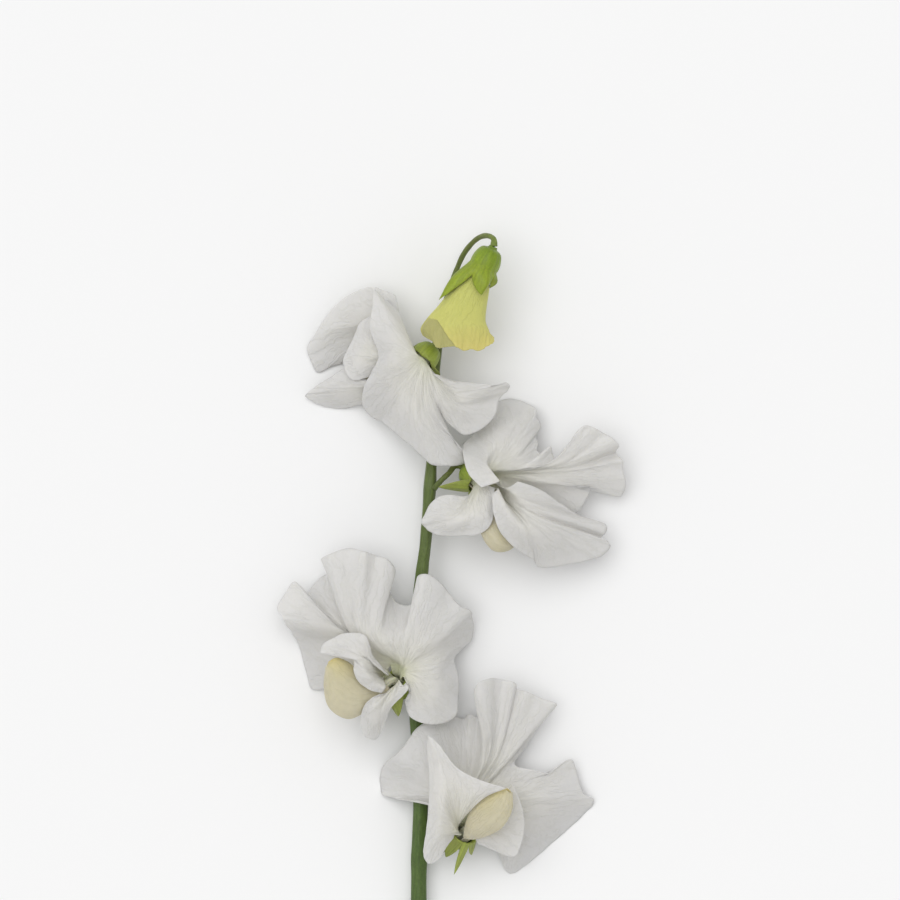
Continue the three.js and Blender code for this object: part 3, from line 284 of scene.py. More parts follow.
FLOWER_4 = {
    "calyx": {
        "base": (7.9, 12.8, 5.8),
        "mouth": (10.3, 15.3, 9.3),
        "up": (-0.5, 0.6, -0.3),
        "notch": 0.12,
        "bow": 0,
        "tips": [
            (8.1, 5.6, 9.6), (6.3, 9.4, 7), (12.1, 9.9, 6.6), (15, 17.6, 4.6), (5.4, 18.4, 5.6),
        ],
    },
    "standard": {
        "rim": [
            (5.6, 19.4, 9.4), (2.5, 21.8, 9.2), (-2, 22.3, 7.2), (-6, 22.6, 3), (-8.1, 23.3, 0.9),
            (-8.7, 26, 0.6), (-8.4, 28.8, 1.6), (-7, 31, 4), (-4.2, 33.3, 7.2), (-2.2, 36, 8.4),
            (-0.5, 38.4, 8.6), (2, 40, 8.2), (5, 41, 6.6), (8, 41.2, 4.4), (10.2, 40.6, 3.6),
            (11.4, 41.6, 4), (13.4, 40.9, 4.2), (14.6, 42, 6.4), (13.4, 43.5, 9.6), (12.5, 46.8, 11.6),
            (13.6, 49, 12.6), (16.2, 49.9, 11.6), (19, 49.6, 9.6), (21.4, 49.1, 10.2), (22.2, 47.6, 8),
            (24.5, 46.8, 9.6), (27.5, 45.4, 8), (31.2, 44.1, 6.4), (31, 43, 4.8), (27.5, 39.4, 4.2),
            (24.2, 34.2, 4.2), (21.8, 30.6, 5.4), (22.6, 29.8, 7.2), (26, 29.1, 7.8), (29.8, 28.5, 6.6),
            (32.2, 30.2, 5.6), (34.6, 31.4, 4.4), (35.5, 29.6, 2.8), (36.6, 25.4, 2.2), (37.4, 23.5, 2.8),
            (39.7, 22.4, 1.8), (39.4, 21, 0.8), (36, 17.4, 0.6), (30, 12, 0.6), (25, 8, 0.6),
            (21.5, 5.5, 0.6), (20, 5.9, 0.8), (18.8, 9, 1.8), (17, 12.2, 4.6), (14.2, 14.2, 7.6),
        ],
        "blade": [
            (0, 8.4, 18, 9.6), (4, 3.6, 22.6, 9.8), (7, 4, 25, 9.6), (10, 5.5, 28, 9.8), (13, 9, 28.5, 7.2),
            (16, 12, 29, 6), (18, 14.5, 31, 8.8), (21, 16, 33, 8.4), (24, 18, 32.5, 6.8),
            (27, 19.5, 31, 7.2), (30, 18.5, 28, 6.6), (33, 20.5, 26, 7.6), (37, 25, 24, 8),
            (41, 25.5, 20, 7), (45, 20.5, 13, 5), (49, 13, 15.6, 8.6),
        ],
    },
    "left_wing": {
        "rim": [
            (19.8, 25.6, 22), (17, 26.4, 22.6), (13, 27.7, 22.4), (9.8, 29.3, 21.4), (7, 32, 20.4),
            (4.5, 35.3, 18.8), (2.2, 37.1, 17.2), (2.1, 35, 16.4), (2.7, 29, 17), (2.5, 22, 16.6),
            (1.8, 15.5, 15.2), (1.2, 11.5, 14.2), (1.5, 9.2, 14), (2.5, 8.2, 14), (4.6, 9.2, 14),
            (6.3, 12, 13.6), (8.2, 14.2, 12.4),
        ],
        "blade": [
            (0, 15, 23.4, 20.6), (2, 12.5, 24.4, 21.2), (4, 9.5, 25, 19.8), (6, 6.5, 25.5, 21),
            (8, 5.6, 22, 20.6), (10, 5.2, 18, 18.8), (12, 5, 14.5, 17), (14, 6.3, 14.2, 15.6),
            (16, 8.8, 15.4, 12.2),
        ],
    },
    "right_wing": {
        "rim": [
            (21.2, 26.4, 16.8), (22.5, 23.5, 15.6), (23.6, 20, 14.4), (23.9, 16, 12.8), (23.2, 12.5, 11.6),
            (21.8, 9.8, 10.6), (19, 10.2, 10.4), (15.6, 11.7, 10.6), (13.4, 12.6, 11),
        ],
        "blade": [
            (0, 17.2, 20.6, 13.4), (3, 17.8, 16.6, 12.4), (6, 15.4, 14.4, 12), (8, 12.9, 14, 11.2),
        ],
    },
    "keel": {
        "ventral": [
            (12.5, 14, 13.2), (15, 14.8, 16.6), (18.6, 17, 19.6), (20.8, 21, 20.6), (21, 24.2, 20.2),
        ],
        "dorsal": [
            (11, 17.4, 12.8), (12.4, 20.2, 14.4), (14.4, 22.7, 16.4), (17.2, 24.4, 18.2),
            (19.8, 25.4, 19.2),
        ],
        "half_widths": (1.6, 2, 2.3, 2, 0.9),
    },
}

FLOWERS = {1: FLOWER_1, 2: FLOWER_2, 3: FLOWER_3, 4: FLOWER_4}

BUD = {
    "calyx": {
        "base": (16.9, 146.8, 15.8),
        "mouth": (12.4, 138, 15.2),
        "up": (0, 0, 1),
        "notch": 0.3,
        "bow": 0.9,
        "tips": [
            (14.2, 136, 19), (4.7, 135, 16.4), (16.1, 137.6, 15.4), (7.2, 135.4, 11.6), (13.5, 135.4, 11.4),
        ],
    },
    "body": [
        {"left": (9.8, 139.9, 15.2), "right": (16.2, 139.2, 15.2), "depth": 2.5},
        {"left": (6.8, 136.5, 15), "right": (15.9, 136.4, 15), "depth": 2.8},
        {"left": (4.3, 133.4, 14.8), "right": (15.4, 133.2, 14.8), "depth": 3},
        {"left": (2, 130.8, 14.6), "right": (15.2, 130.2, 14.6), "depth": 3.2},
        {"left": (0.6, 128.4, 14.5), "right": (15.9, 128.2, 14.5), "depth": 3.3},
    ],
    "rim": [
        (1.1, 127, 14.4), (1.5, 126.5, 15.4), (2.9, 125.7, 16.3), (4, 124.1, 17), (6.2, 124.3, 17.4),
        (8.7, 124.4, 17.6), (10.4, 123.5, 17.4), (12.2, 123.9, 17.4), (13.8, 123.5, 17),
        (15.6, 124.6, 16.2), (17.1, 125.5, 15.2), (17, 126.7, 14), (15.6, 126.4, 12.6), (13.4, 126, 11.8),
        (11, 126.4, 11.4), (8.6, 126.2, 11.2), (6.2, 126.6, 11.4), (4.2, 126.9, 11.8), (2.6, 127.2, 12.6),
        (1.5, 127.4, 13.4),
    ],
}


# ---- Sizes shared with the CAD source, in millimetres and degrees ---------------------------------

STEM_RADIUS = (1.75, 0.85)
STALK_RADIUS = 0.6
CUP_RADIUS = 3.1
CUP_LENGTH = 5.0
CUP_PROFILE = [(0.75, -0.1), (0.95, 0.4), (2.2, 1.0), (2.9, 2.6), (3.1, 4.2), (CUP_RADIUS, CUP_LENGTH)]
CUP_KEEP_OUT = 4.5
FOOT = (2.1, 2.6)
THROAT = (2.15, 5.6)
COLLAR_HEIGHT = 6.5
STANDARD_CLAW = {"arc": (-52, 52), "collar": 3.7}
WING_ARC = (68, 108)
WING_COLLAR = 2.8
KEEL_ARC = 46
KEEL_SLIT = 0.3
PISTIL_REACH = 0.72
BUD_THROAT = 2.05
TOOTH_WIDTH = 0.7
TOOTH_FULLNESS = 1.67
TOOTH_MIDDLE = 0.45


# ---- Sizes of the visible surfaces alone ----------------------------------------------------------

FLOOR_CLEARANCE = 0.02
PETAL_THICKNESS = {"thick": 0.34, "thinning": 0.18}
CALYX_THICKNESS = {"thick": 0.42, "thinning": 0.24}
KEEL_THICKNESS = 0.3
TOOTH_RIDGE = 0.14
JOINT_SWELLING = 0.22
JOINT_REACH = 3.2
COLUMN_RADII = {"outer": 0.92, "inner": 0.72}
PISTIL_KNOTS = (0.55, 0.78, 1.0)
SEAM = np.array([(2.2, 131.0), (4.3, 130.4), (5.5, 128.5), (6.6, 126.8), (7.6, 125.6), (8.8, 124.0)])
SEAM_DEPTH = 0.3
SEAM_BEAD = 0.08


# ---- How finely the surfaces are drawn ------------------------------------------------------------

STEM_RINGS = 360
STEM_SIDES = 40
STALK_SIDES = 24
STALK_RINGS_PER_POINT = 26
RAYS_PER_POINT = 6
BLADE_BLUR = 0.35
TOOTH_COLUMNS = 18
CUP_ROWS = 44
KEEL_ROWS = 96
KEEL_COLUMNS = 48
HOLLOW_POINTS = 90
COLUMN_SIDES = 45
PISTIL_SIDES = 20
BUD_COLUMNS = 320
BUD_ROWS = 90

# Creases of each petal: place along its rim, width in rim points, depth in millimetres, and where it
# starts and ends on the way from the petal's collar, 0, to its rim, 1.
CREASES = {
    ("standard", 1): [
        (5.5, 1.2, 0.45, 0.3, 0.9), (8.5, 0.9, -0.4, 0.3, 0.95), (24, 0.9, 0.5, 0.35, 0.95),
        (27.5, 1, -0.4, 0.3, 0.9), (39.5, 1, 0.4, 0.4, 0.95),
    ],
    ("standard", 2): [
        (6, 1.2, 0.45, 0.3, 0.95), (9.5, 1, -0.35, 0.35, 0.95), (12.5, 0.8, 0.4, 0.4, 0.95),
        (25.5, 1, 0.45, 0.4, 0.95), (30.5, 0.8, -0.45, 0.4, 0.95),
    ],
    ("standard", 3): [
        (6.2, 0.7, 0.6, 0.45, 0.98), (20.8, 0.8, 0.45, 0.3, 0.95), (22.6, 0.6, -0.4, 0.3, 0.98),
        (34.2, 0.8, 0.5, 0.45, 0.98), (36.5, 0.8, -0.45, 0.4, 0.95), (41.5, 1, 0.4, 0.4, 0.95),
    ],
    ("standard", 4): [
        (7.5, 1, 0.4, 0.35, 0.95), (20.4, 0.6, 0.5, 0.3, 0.98), (23.4, 0.6, 0.45, 0.3, 0.98),
        (25.2, 0.7, -0.45, 0.3, 0.98), (38.6, 0.8, 0.5, 0.4, 0.98), (42.4, 1.2, -0.35, 0.3, 0.9),
    ],
    ("left_wing", 3): [
        (5.5, 0.9, 0.4, 0.3, 0.9), (11.5, 0.8, -0.3, 0.3, 0.95),
    ],
    ("left_wing", 4): [
        (8.6, 0.9, -0.4, 0.3, 0.9),
    ],
    ("right_wing", 2): [
        (14.4, 0.8, -0.5, 0.4, 0.95),
    ],
}


# ---- Small mathematics ----------------------------------------------------------------------------


def arr(points):
    return np.array(points, float)


def unit(v):
    length = np.linalg.norm(v, axis=-1, keepdims=True)
    return v / np.maximum(length, 1e-9)


def smooth(x, low, high):
    t = np.clip((np.asarray(x, float) - low) / (high - low), 0, 1)
    return t * t * (3 - 2 * t)


def spline(points, at, closed=False):
    """Centripetal Catmull-Rom through points (..., n, 3), at parameters `at` from 0 to n - 1."""
    p = arr(points)
    n = p.shape[-2]
    at = np.atleast_1d(np.asarray(at, float))
    if closed:
        i1 = np.floor(at).astype(int) % n
        quad = [p[..., (i1 + k) % n, :] for k in (-1, 0, 1, 2)]
        t = at - np.floor(at)
    else:
        i1 = np.clip(np.floor(at).astype(int), 0, n - 2)
        first = 2 * p[..., :1, :] - p[..., 1:2, :]
        last = 2 * p[..., -1:, :] - p[..., -2:-1, :]
        padded = np.concatenate([first, p, last], axis=-2)
        quad = [padded[..., i1 + k, :] for k in (0, 1, 2, 3)]
        t = at - i1
    p0, p1, p2, p3 = quad

    def gap(a, b):
        return np.maximum(np.linalg.norm(b - a, axis=-1, keepdims=True) ** 0.5, 1e-4)

    d0, d1, d2 = gap(p0, p1), gap(p1, p2), gap(p2, p3)
    m1 = ((p1 - p0) / d0 - (p2 - p0) / (d0 + d1) + (p2 - p1) / d1) * d1
    m2 = ((p2 - p1) / d1 - (p3 - p1) / (d1 + d2) + (p3 - p2) / d2) * d1
    t = t[:, None]
    t2, t3 = t * t, t * t * t
    return (
        (2 * t3 - 3 * t2 + 1) * p1
        + (t3 - 2 * t2 + t) * m1
        + (-2 * t3 + 3 * t2) * p2
        + (t3 - t2) * m2
    )


def along(points, count, closed=False):
    """`count` points at even steps of the spline's parameter."""
    n = len(points)
    last = n if closed else n - 1
    return spline(points, np.linspace(0, last, count, endpoint=not closed), closed)


def blur(rows, width):
    """Rows of points smoothed along the first axis with a bell of `width` rows; the ends stay."""
    reach = max(1, int(3 * width))
    offsets = np.arange(-reach, reach + 1)
    weights = np.exp(-0.5 * (offsets / max(width, 1e-6)) ** 2)
    weights /= weights.sum()
    before = 2 * rows[:1] - rows[1 : reach + 1][::-1]
    after = 2 * rows[-1:] - rows[-reach - 1 : -1][::-1]
    padded = np.concatenate([before, rows, after])
    return sum(w * padded[k : k + len(rows)] for k, w in enumerate(weights))


def waves(x, seed, lengths, heights):
    """A sum of sines of the given wavelengths, with phases fixed by the seed."""
    rng = np.random.default_rng(seed)
    x = np.asarray(x, float)
    total = np.zeros_like(x)
    for length, height in zip(lengths, heights):
        total += height * np.sin(2 * math.pi * (x / length + rng.random()))
    return total


def ruffle(u, v, seed, waves_across, waves_along=2.0):
    """Smooth noise over a petal from a few crossed sines: u from 0 to 1 across it, v along it."""
    rng = np.random.default_rng(seed)
    total = np.zeros(np.broadcast(u, v).shape)
    for k in range(5):
        a = waves_across * (0.6 + 0.9 * rng.random())
        b = waves_along * (rng.random() - 0.5) * 2
        total = total + np.sin(2 * math.pi * (a * u + b * v + rng.random())) / (1 + 0.4 * k)
    return total / 2.2


# ---- Meshes ---------------------------------------------------------------------------------------


def by_row(values, columns):
    """A grid that holds one value in each row."""
    return np.repeat(arr(values)[:, None], columns, axis=1)


def by_column(values, rows):
    """A grid that holds one value in each column."""
    return np.repeat(arr(values)[None, :], rows, axis=0)


def turns(sides):
    """The share of a whole turn at each side of a ring."""
    return np.linspace(0, 1, sides, endpoint=False)


def normals_of(grid):
    down = np.gradient(grid, axis=0)
    across = np.gradient(grid, axis=1)
    return unit(np.cross(down, across))


def quads(rows, columns, start=0, flip=False, wrap=False):
    i, j = np.meshgrid(np.arange(rows - 1), np.arange(columns - (0 if wrap else 1)), indexing="ij")
    k = (j + 1) % columns
    a, b = start + i * columns + j, start + (i + 1) * columns + j
    c, d = start + (i + 1) * columns + k, start + i * columns + k
    order = (a, d, c, b) if flip else (a, b, c, d)
    return np.stack(order, axis=-1).reshape(-1, 4)


def signed_volume(vertices, faces):
    a, b, c, d = (vertices[faces[:, k]] for k in range(4))
    cone = np.einsum("ij,ij->i", a, np.cross(b, c)) + np.einsum("ij,ij->i", a, np.cross(c, d))
    return cone.sum()


def make_object(name, vertices, faces, attributes, material, node):
    """A mesh object of closed quads, in metres in the row's frame, that stands for a CAD node."""
    if signed_volume(vertices, faces) < 0:
        faces = faces[:, ::-1]
    placed = to_row(vertices)
    placed[:, 2] = np.maximum(placed[:, 2], FLOOR_CLEARANCE * MM)
    mesh = bpy.data.meshes.new(name)
    mesh.from_pydata(placed.tolist(), [], faces.tolist())
    mesh.polygons.foreach_set("use_smooth", np.ones(len(faces), bool))
    for key, values in attributes.items():
        layer = mesh.attributes.new(key, "FLOAT", "POINT")
        layer.data.foreach_set("value", np.asarray(values, np.float32).ravel())
    mesh.validate()
    mesh.update()
    mesh.materials.append(material)
    made = bpy.data.objects.new(name, mesh)
    bpy.context.scene.collection.objects.link(made)
    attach(made, "root")
    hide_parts(node)
    return made


def sheet_mesh(grid, thickness, attributes):
    """Both faces of a sheet and the strip round its edge: vertices, faces and attributes."""
    rows, columns, _ = grid.shape
    normal = normals_of(grid)
    half = (np.asarray(thickness) / 2)[..., None]
    vertices = np.concatenate([(grid + half * normal).reshape(-1, 3), (grid - half * normal).reshape(-1, 3)])
    size = rows * columns
    faces = [quads(rows, columns), quads(rows, columns, size, flip=True)]
    index = np.arange(size).reshape(rows, columns)
    loop = np.concatenate([index[0, :-1], index[:-1, -1], index[-1, :0:-1], index[:0:-1, 0]])
    after = np.roll(loop, -1)
    faces.append(np.stack([loop, after, after + size, loop + size], axis=-1))
    doubled = {key: np.concatenate([values.ravel(), values.ravel()]) for key, values in attributes.items()}
    return vertices, np.concatenate(faces), doubled


def ring_mesh(rings, attributes):
    """A tube through rings of points, closed at both ends by shrinking to a point's neighbourhood."""
    count = rings.shape[1]
    first = rings[0].mean(0) + (rings[0] - rings[0].mean(0)) * 0.02
    last = rings[-1].mean(0) + (rings[-1] - rings[-1].mean(0)) * 0.02
    whole = np.concatenate([[first], rings, [last]])
    vertices = whole.reshape(-1, 3)
    faces = [quads(len(whole), count, wrap=True)]
    faces.append(fan(np.arange(count)))
    faces.append(fan(np.arange(count)[::-1] + (len(whole) - 1) * count))
    padded = {
        key: np.concatenate([values[:1], values, values[-1:]]).ravel() for key, values in attributes.items()
    }
    return vertices, np.concatenate(faces), padded


def fan(loop):
    """Quads that fill a small even ring."""
    n = len(loop)
    half = n // 2
    return np.array([[loop[k], loop[k + 1], loop[n - 2 - k], loop[n - 1 - k]] for k in range(half - 1)])


def frames_along(line):
    """Unit tangents of a line of points and two unit normals that turn as little as they can."""
    tangent = unit(np.gradient(line, axis=0))
    start = np.cross(tangent[0], [0, 0, 1.0])
    if np.linalg.norm(start) < 0.1:
        start = np.cross(tangent[0], [1.0, 0, 0])
    normal = [unit(start)]
    for t in tangent[1:]:
        carried = normal[-1] - t * np.dot(normal[-1], t)
        normal.append(unit(carried))
    normal = arr(normal)
    return tangent, normal, np.cross(tangent, normal)


def rod_rings(line, radius, sides, shape=None):
    """Rings round a line. radius is one number for each ring; shape adds a share of it by angle."""
    _, normal, binormal = frames_along(line)
    angle = np.linspace(0, 2 * math.pi, sides, endpoint=False)
    reach = np.broadcast_to(np.asarray(radius, float)[:, None], (len(line), sides))
    if shape is not None:
        reach = reach * (1 + shape(angle[None, :], np.linspace(0, 1, len(line))[:, None]))
    return (
        line[:, None, :]
        + (reach * np.cos(angle))[..., None] * normal[:, None, :]
        + (reach * np.sin(angle))[..., None] * binormal[:, None, :]
    )


# ---- Stem and stalks ------------------------------------------------------------------------------


def stem_mesh():
    line = along(STEM_LINE, STEM_RINGS)
    share = np.linspace(0, 1, len(line))
    radius = STEM_RADIUS[0] + (STEM_RADIUS[1] - STEM_RADIUS[0]) * share**1.5
    for number in (1, 2, 3, 4):
        start = arr(STALKS[number][0])
        distance = np.linalg.norm(line - start, axis=1)
        radius = radius + JOINT_SWELLING * np.exp(-((distance / JOINT_REACH) ** 2))
    radius = radius + waves(share, 3, (0.13, 0.047), (0.03, 0.02))

    def ribs(angle, along_share):
        turn = 0.5 * np.sin(5 * along_share)
        return 0.045 * np.cos(5 * (angle + turn)) + 0.015 * np.cos(11 * angle)

    rings = rod_rings(line, radius, STEM_SIDES, ribs)
    attributes = {
        "across": by_column(turns(STEM_SIDES), len(line)),
        "outward": by_row(share, STEM_SIDES),
        "cut": by_row(share == 0, STEM_SIDES),
    }
    return ring_mesh(rings, attributes)


def stalk_mesh(number, cup):
    points = [*STALKS[number], tuple(cup["at"](0, 0, -0.25))]
    line = along(points, STALK_RINGS_PER_POINT * len(points))
    share = np.linspace(0, 1, len(line))
    radius = STALK_RADIUS * (1 + 0.16 * smooth(share, 0.25, 0) + 0.42 * smooth(share, 0.82, 1.0))
    radius = radius + waves(share, 20 + number, (0.21, 0.09), (0.02, 0.015))
    rings = rod_rings(line, radius, STALK_SIDES, lambda a, s: 0.05 * np.cos(3 * a + 2 * s))
    around = by_column(turns(STALK_SIDES), len(line))
    return ring_mesh(rings, {"across": around, "outward": by_row(share, STALK_SIDES)})


# ---- Calyx ----------------------------------------------------------------------------------------


def cup_frame(calyx):
    origin = arr(calyx["base"])
    axis = unit(arr(calyx["mouth"]) - origin)
    up = arr(calyx["up"])
    top = unit(up - np.dot(up, axis) * axis)
    side = np.cross(axis, top)

    def at(radius, degrees, height):
        angle = np.radians(np.asarray(degrees, float))[..., None]
        radius, height = (np.asarray(x, float)[..., None] for x in (radius, height))
        return origin + height * axis + radius * (np.cos(angle) * top + np.sin(angle) * side)

    return {"origin": origin, "axis": axis, "top": top, "side": side, "at": at}


def calyx_mesh(calyx, seed):
    """A cup of one sheet that runs on into five pointed teeth."""
    cup = cup_frame(calyx)
    tips = arr(calyx["tips"])
    away = tips - cup["origin"]
    degrees = np.degrees(np.arctan2(away @ cup["side"], away @ cup["top"]))
    order = np.argsort(degrees)
    tips, degrees = tips[order], degrees[order]
    columns, offs = [], []
    for k in range(5):
        turn = (degrees[(k + 1) % 5] - degrees[k]) % 360
        for j in range(TOOTH_COLUMNS):
            share = j / TOOTH_COLUMNS
            angle = degrees[k] + turn * share
            wall = [cup["at"](radius, angle, height) for radius, height in CUP_PROFILE]
            notch = wall[-1]
            own, other = (k, (k + 1) % 5) if share < 0.5 else ((k + 1) % 5, k)
            ends = []
            for tooth in (own, other):
                aside = notch - cup["at"](CUP_RADIUS, degrees[tooth], CUP_LENGTH)
                ends.append(tips[tooth] + TOOTH_WIDTH * aside)
            off = 1 - abs(2 * share - 1)
            end = ends[0] + (ends[1] - ends[0]) * off**2 / 2
            reach = calyx["notch"] + (1 - calyx["notch"]) * (1 - off**TOOTH_FULLNESS)
            outward = cup["at"](calyx["bow"], angle, 0) - cup["origin"]
            middle = notch + (end - notch) * TOOTH_MIDDLE * reach + outward * reach
            points = [*wall, middle, notch + (end - notch) * reach]
            columns.append(spline(arr(points), np.linspace(0, len(points) - 1, CUP_ROWS)))
            offs.append(off)
    grid = arr([*columns, columns[0]])
    off = arr([*offs, offs[0]])[:, None]
    u = by_row(np.linspace(0, 5, len(grid)), CUP_ROWS)
    v = by_column(np.linspace(0, 1, CUP_ROWS), len(grid))
    normal = normals_of(grid)
    outside = np.sign(np.sum(normal * (grid - cup["origin"]), axis=-1).mean())
    ridge = TOOTH_RIDGE * np.exp(-((off / 0.16) ** 2)) * smooth(v, 0.25, 0.6) * smooth(v, 1.0, 0.9)
    grid = grid + (outside * ridge)[..., None] * normal
    grid = grid + (0.05 * ruffle(u / 5, v, seed, 12, 3) * smooth(v, 0.1, 0.4))[..., None] * normal
    thickness = CALYX_THICKNESS["thick"] - CALYX_THICKNESS["thinning"] * smooth(v, 0.5, 1.0)
    thickness = thickness * (0.35 + 0.65 * smooth(v, 1.0, 0.97))
    return sheet_mesh(grid, thickness, {"across": u, "outward": v})


# ---- Petals ---------------------------------------------------------------------------------------


def outside_cup(cup, points):
    """Points moved outwards where they would lie in or against the calyx cup."""
    height = (points - cup["origin"]) @ cup["axis"]
    on_axis = cup["origin"] + height[:, None] * cup["axis"]
    radius = np.linalg.norm(points - on_axis, axis=1)
    depth = smooth(height, COLLAR_HEIGHT + 0.5, COLLAR_HEIGHT - 0.5)
    wanted = np.maximum(radius, CUP_KEEP_OUT * depth)
    return on_axis + (points - on_axis) * (wanted / np.maximum(radius, 0.3))[:, None]


def petal_grid(cup, petal, claw):
    """Rays from the petal's foot in the calyx, over its blade, to its rim, and where each point is:
    how far across the petal, how far out past its collar, and at which rim point."""
    rim = arr(petal["rim"])
    blade = arr(petal["blade"])
    count = RAYS_PER_POINT * (len(rim) - 1) + 1
    s = np.linspace(0, len(rim) - 1, count)
    edge = outside_cup(cup, spline(rim, s))
    middle = spline(blade[:, 1:], np.interp(s, blade[:, 0], np.arange(len(blade))))
    middle = outside_cup(cup, blur(middle, BLADE_BLUR * RAYS_PER_POINT))
    low, high = claw["arc"]
    straight = np.linalg.norm(cup["at"](THROAT[0], low, THROAT[1]) - middle[0])
    straight += np.linalg.norm(cup["at"](THROAT[0], high, THROAT[1]) - middle[-1])
    crossed = np.linalg.norm(cup["at"](THROAT[0], high, THROAT[1]) - middle[0])
    crossed += np.linalg.norm(cup["at"](THROAT[0], low, THROAT[1]) - middle[-1])
    if crossed < straight:
        low, high = high, low
    share = np.linspace(0, 1, count)
    degrees = low + (high - low) * share
    ones = np.ones(count)
    claws = [
        cup["at"](FOOT[0] * ones, degrees, FOOT[1] * ones),
        cup["at"](THROAT[0] * ones, degrees, THROAT[1] * ones),
        cup["at"](claw["collar"] * ones, degrees, COLLAR_HEIGHT * ones),
    ]
    controls = np.stack([*claws, middle, edge], axis=1)
    claw_steps, blade_steps, rim_steps = np.linspace(0, 2, 7), np.linspace(2, 3, 16), np.linspace(3, 4, 26)
    at = np.concatenate([claw_steps[:-1], blade_steps[:-1], rim_steps])
    past_collar = np.clip(at - 2, 0, 2) / 2
    return spline(controls, at), by_row(share, len(at)), by_column(past_collar, count), by_row(s, len(at))


def petal_mesh(cup, petal, claw, seed, creases):
    grid, u, v, s = petal_grid(cup, petal, claw)
    normal = normals_of(grid)
    size = len(petal["rim"])
    shift = 0.16 * ruffle(u, v, seed, size / 5, 0.8) * smooth(v, 0.25, 0.9)
    shift = shift + 0.10 * ruffle(u, v, seed + 1, size / 1.6, 0.6) * smooth(v, 0.6, 1.0)
    shift = shift + 0.07 * ruffle(u, v, seed + 2, size * 1.1, 0.5) * smooth(v, 0.86, 1.0)
    for place, width, depth, start, end in creases:
        fade = smooth(v, start, start + 0.25) * (1 - 0.85 * smooth(v, end, end + 0.12))
        shift = shift + depth * np.exp(-(((s - place) / width) ** 2)) * fade
    grid = grid + shift[..., None] * normal
    thickness = PETAL_THICKNESS["thick"] - PETAL_THICKNESS["thinning"] * smooth(v, 0.1, 0.9)
    thickness = thickness * (0.4 + 0.6 * smooth(v, 1.0, 0.975))
    return sheet_mesh(grid, thickness, {"across": u * size / 20, "outward": v})


def wing_claws(cup, left, right):
    """The wings' feet lie on either side of the cup's axis, each on its own blade's side."""

    def sideways(petal):
        blade = arr(petal["blade"])[:, 1:]
        return blade[len(blade) // 2] @ cup["side"]

    one = {"arc": WING_ARC, "collar": WING_COLLAR}
    other = {"arc": (-WING_ARC[0], -WING_ARC[1]), "collar": WING_COLLAR}
    return (one, other) if sideways(left) > sideways(right) else (other, one)


# ---- Keel, stamens and pistil ---------------------------------------------------------------------


def keel_sections(cup, keel):
    """Lowest point, highest point, sideways direction and half width along the keel, by share."""
    ventral = arr([cup["at"](FOOT[0], 180, FOOT[1]), cup["at"](FOOT[0], 180, THROAT[1]), *keel["ventral"]])
    dorsal = arr([cup["at"](FOOT[0], 0, FOOT[1]), cup["at"](FOOT[0], 0, THROAT[1]), *keel["dorsal"]])
    halves = arr([FOOT[0], FOOT[0], *keel["half_widths"]])

    def at(share):
        place = np.atleast_1d(share) * (len(halves) - 1)
        low, high = spline(ventral, place), spline(dorsal, place)
        step = 0.01
        forward = spline(ventral, place + step) + spline(dorsal, place + step)
        backward = spline(ventral, place - step) + spline(dorsal, place - step)
        across = unit(np.cross(high - low, forward - backward))
        half = np.interp(place, np.arange(len(halves)), halves)
        return low, high, across, half

    return at


def keel_mesh(cup, keel, seed):
    share = np.linspace(0, 1, KEEL_ROWS)
    low, high, across, half = keel_sections(cup, keel)(share)
    half = blur(half[:, None], 5)[:, 0]
    place = share * (len(keel["ventral"]) + 1)
    narrow, wide = math.radians(KEEL_ARC), math.pi - KEEL_SLIT
    reach = narrow + smooth(place, 1.3, 3) * (wide - narrow)
    t = np.linspace(-1, 1, KEEL_COLUMNS)
    angle = reach[:, None] * t
    middle = (low + high) / 2
    pointed = 1 + 0.10 * np.exp(-((angle / 0.35) ** 2))
    fuller = 1 + 0.06 * np.sin(2 * angle) ** 2
    grid = (
        middle[:, None, :]
        + (pointed * np.cos(angle))[..., None] * (low - middle)[:, None, :]
        + (fuller * half[:, None] * np.sin(angle))[..., None] * across[:, None, :]
    )
    u = by_column((t + 1) / 2, KEEL_ROWS)
    v = by_row(share, KEEL_COLUMNS)
    normal = normals_of(grid)
    shift = 0.07 * ruffle(u, v, seed, 2.5, 2.5) * smooth(v, 0.3, 0.6)
    grid = grid + shift[..., None] * normal
    upper = by_column(smooth(np.abs(t), 0.25, 0.95), KEEL_ROWS)
    return sheet_mesh(grid, np.full(u.shape, KEEL_THICKNESS), {"across": u, "outward": v, "upper": upper})


def hollow_line(cup, keel):
    """The line through the keel's hollow that its stamens and pistil follow."""
    at = keel_sections(cup, keel)
    points = [cup["at"](0, 0, FOOT[1]), cup["at"](0, 0, THROAT[1])]
    for share in PISTIL_KNOTS:
        low, high, _, _ = at(PISTIL_REACH * share)
        points.append((low[0] + high[0]) / 2)
    return along(points, HOLLOW_POINTS)


def column_mesh(line):
    """A tube of filaments, fluted where they join."""
    upto = line[: int(0.95 * len(line))]
    share = np.linspace(0, 1, len(upto))

    def flutes(angle, _share):
        return 0.05 * np.cos(9 * angle)

    outer = rod_rings(upto, np.full(len(upto), COLUMN_RADII["outer"]), COLUMN_SIDES, flutes)
    inner = rod_rings(upto, np.full(len(upto), COLUMN_RADII["inner"]), COLUMN_SIDES, flutes)
    rings = np.concatenate([outer, inner[::-1], outer[:1]])
    vertices = rings[:-1].reshape(-1, 3)
    faces = quads(len(rings), COLUMN_SIDES, wrap=True) % len(vertices)
    up = np.concatenate([share, share[::-1]])
    around = by_column(turns(COLUMN_SIDES), len(up))
    return vertices, faces, {"across": around.ravel(), "outward": by_row(up, COLUMN_SIDES).ravel()}


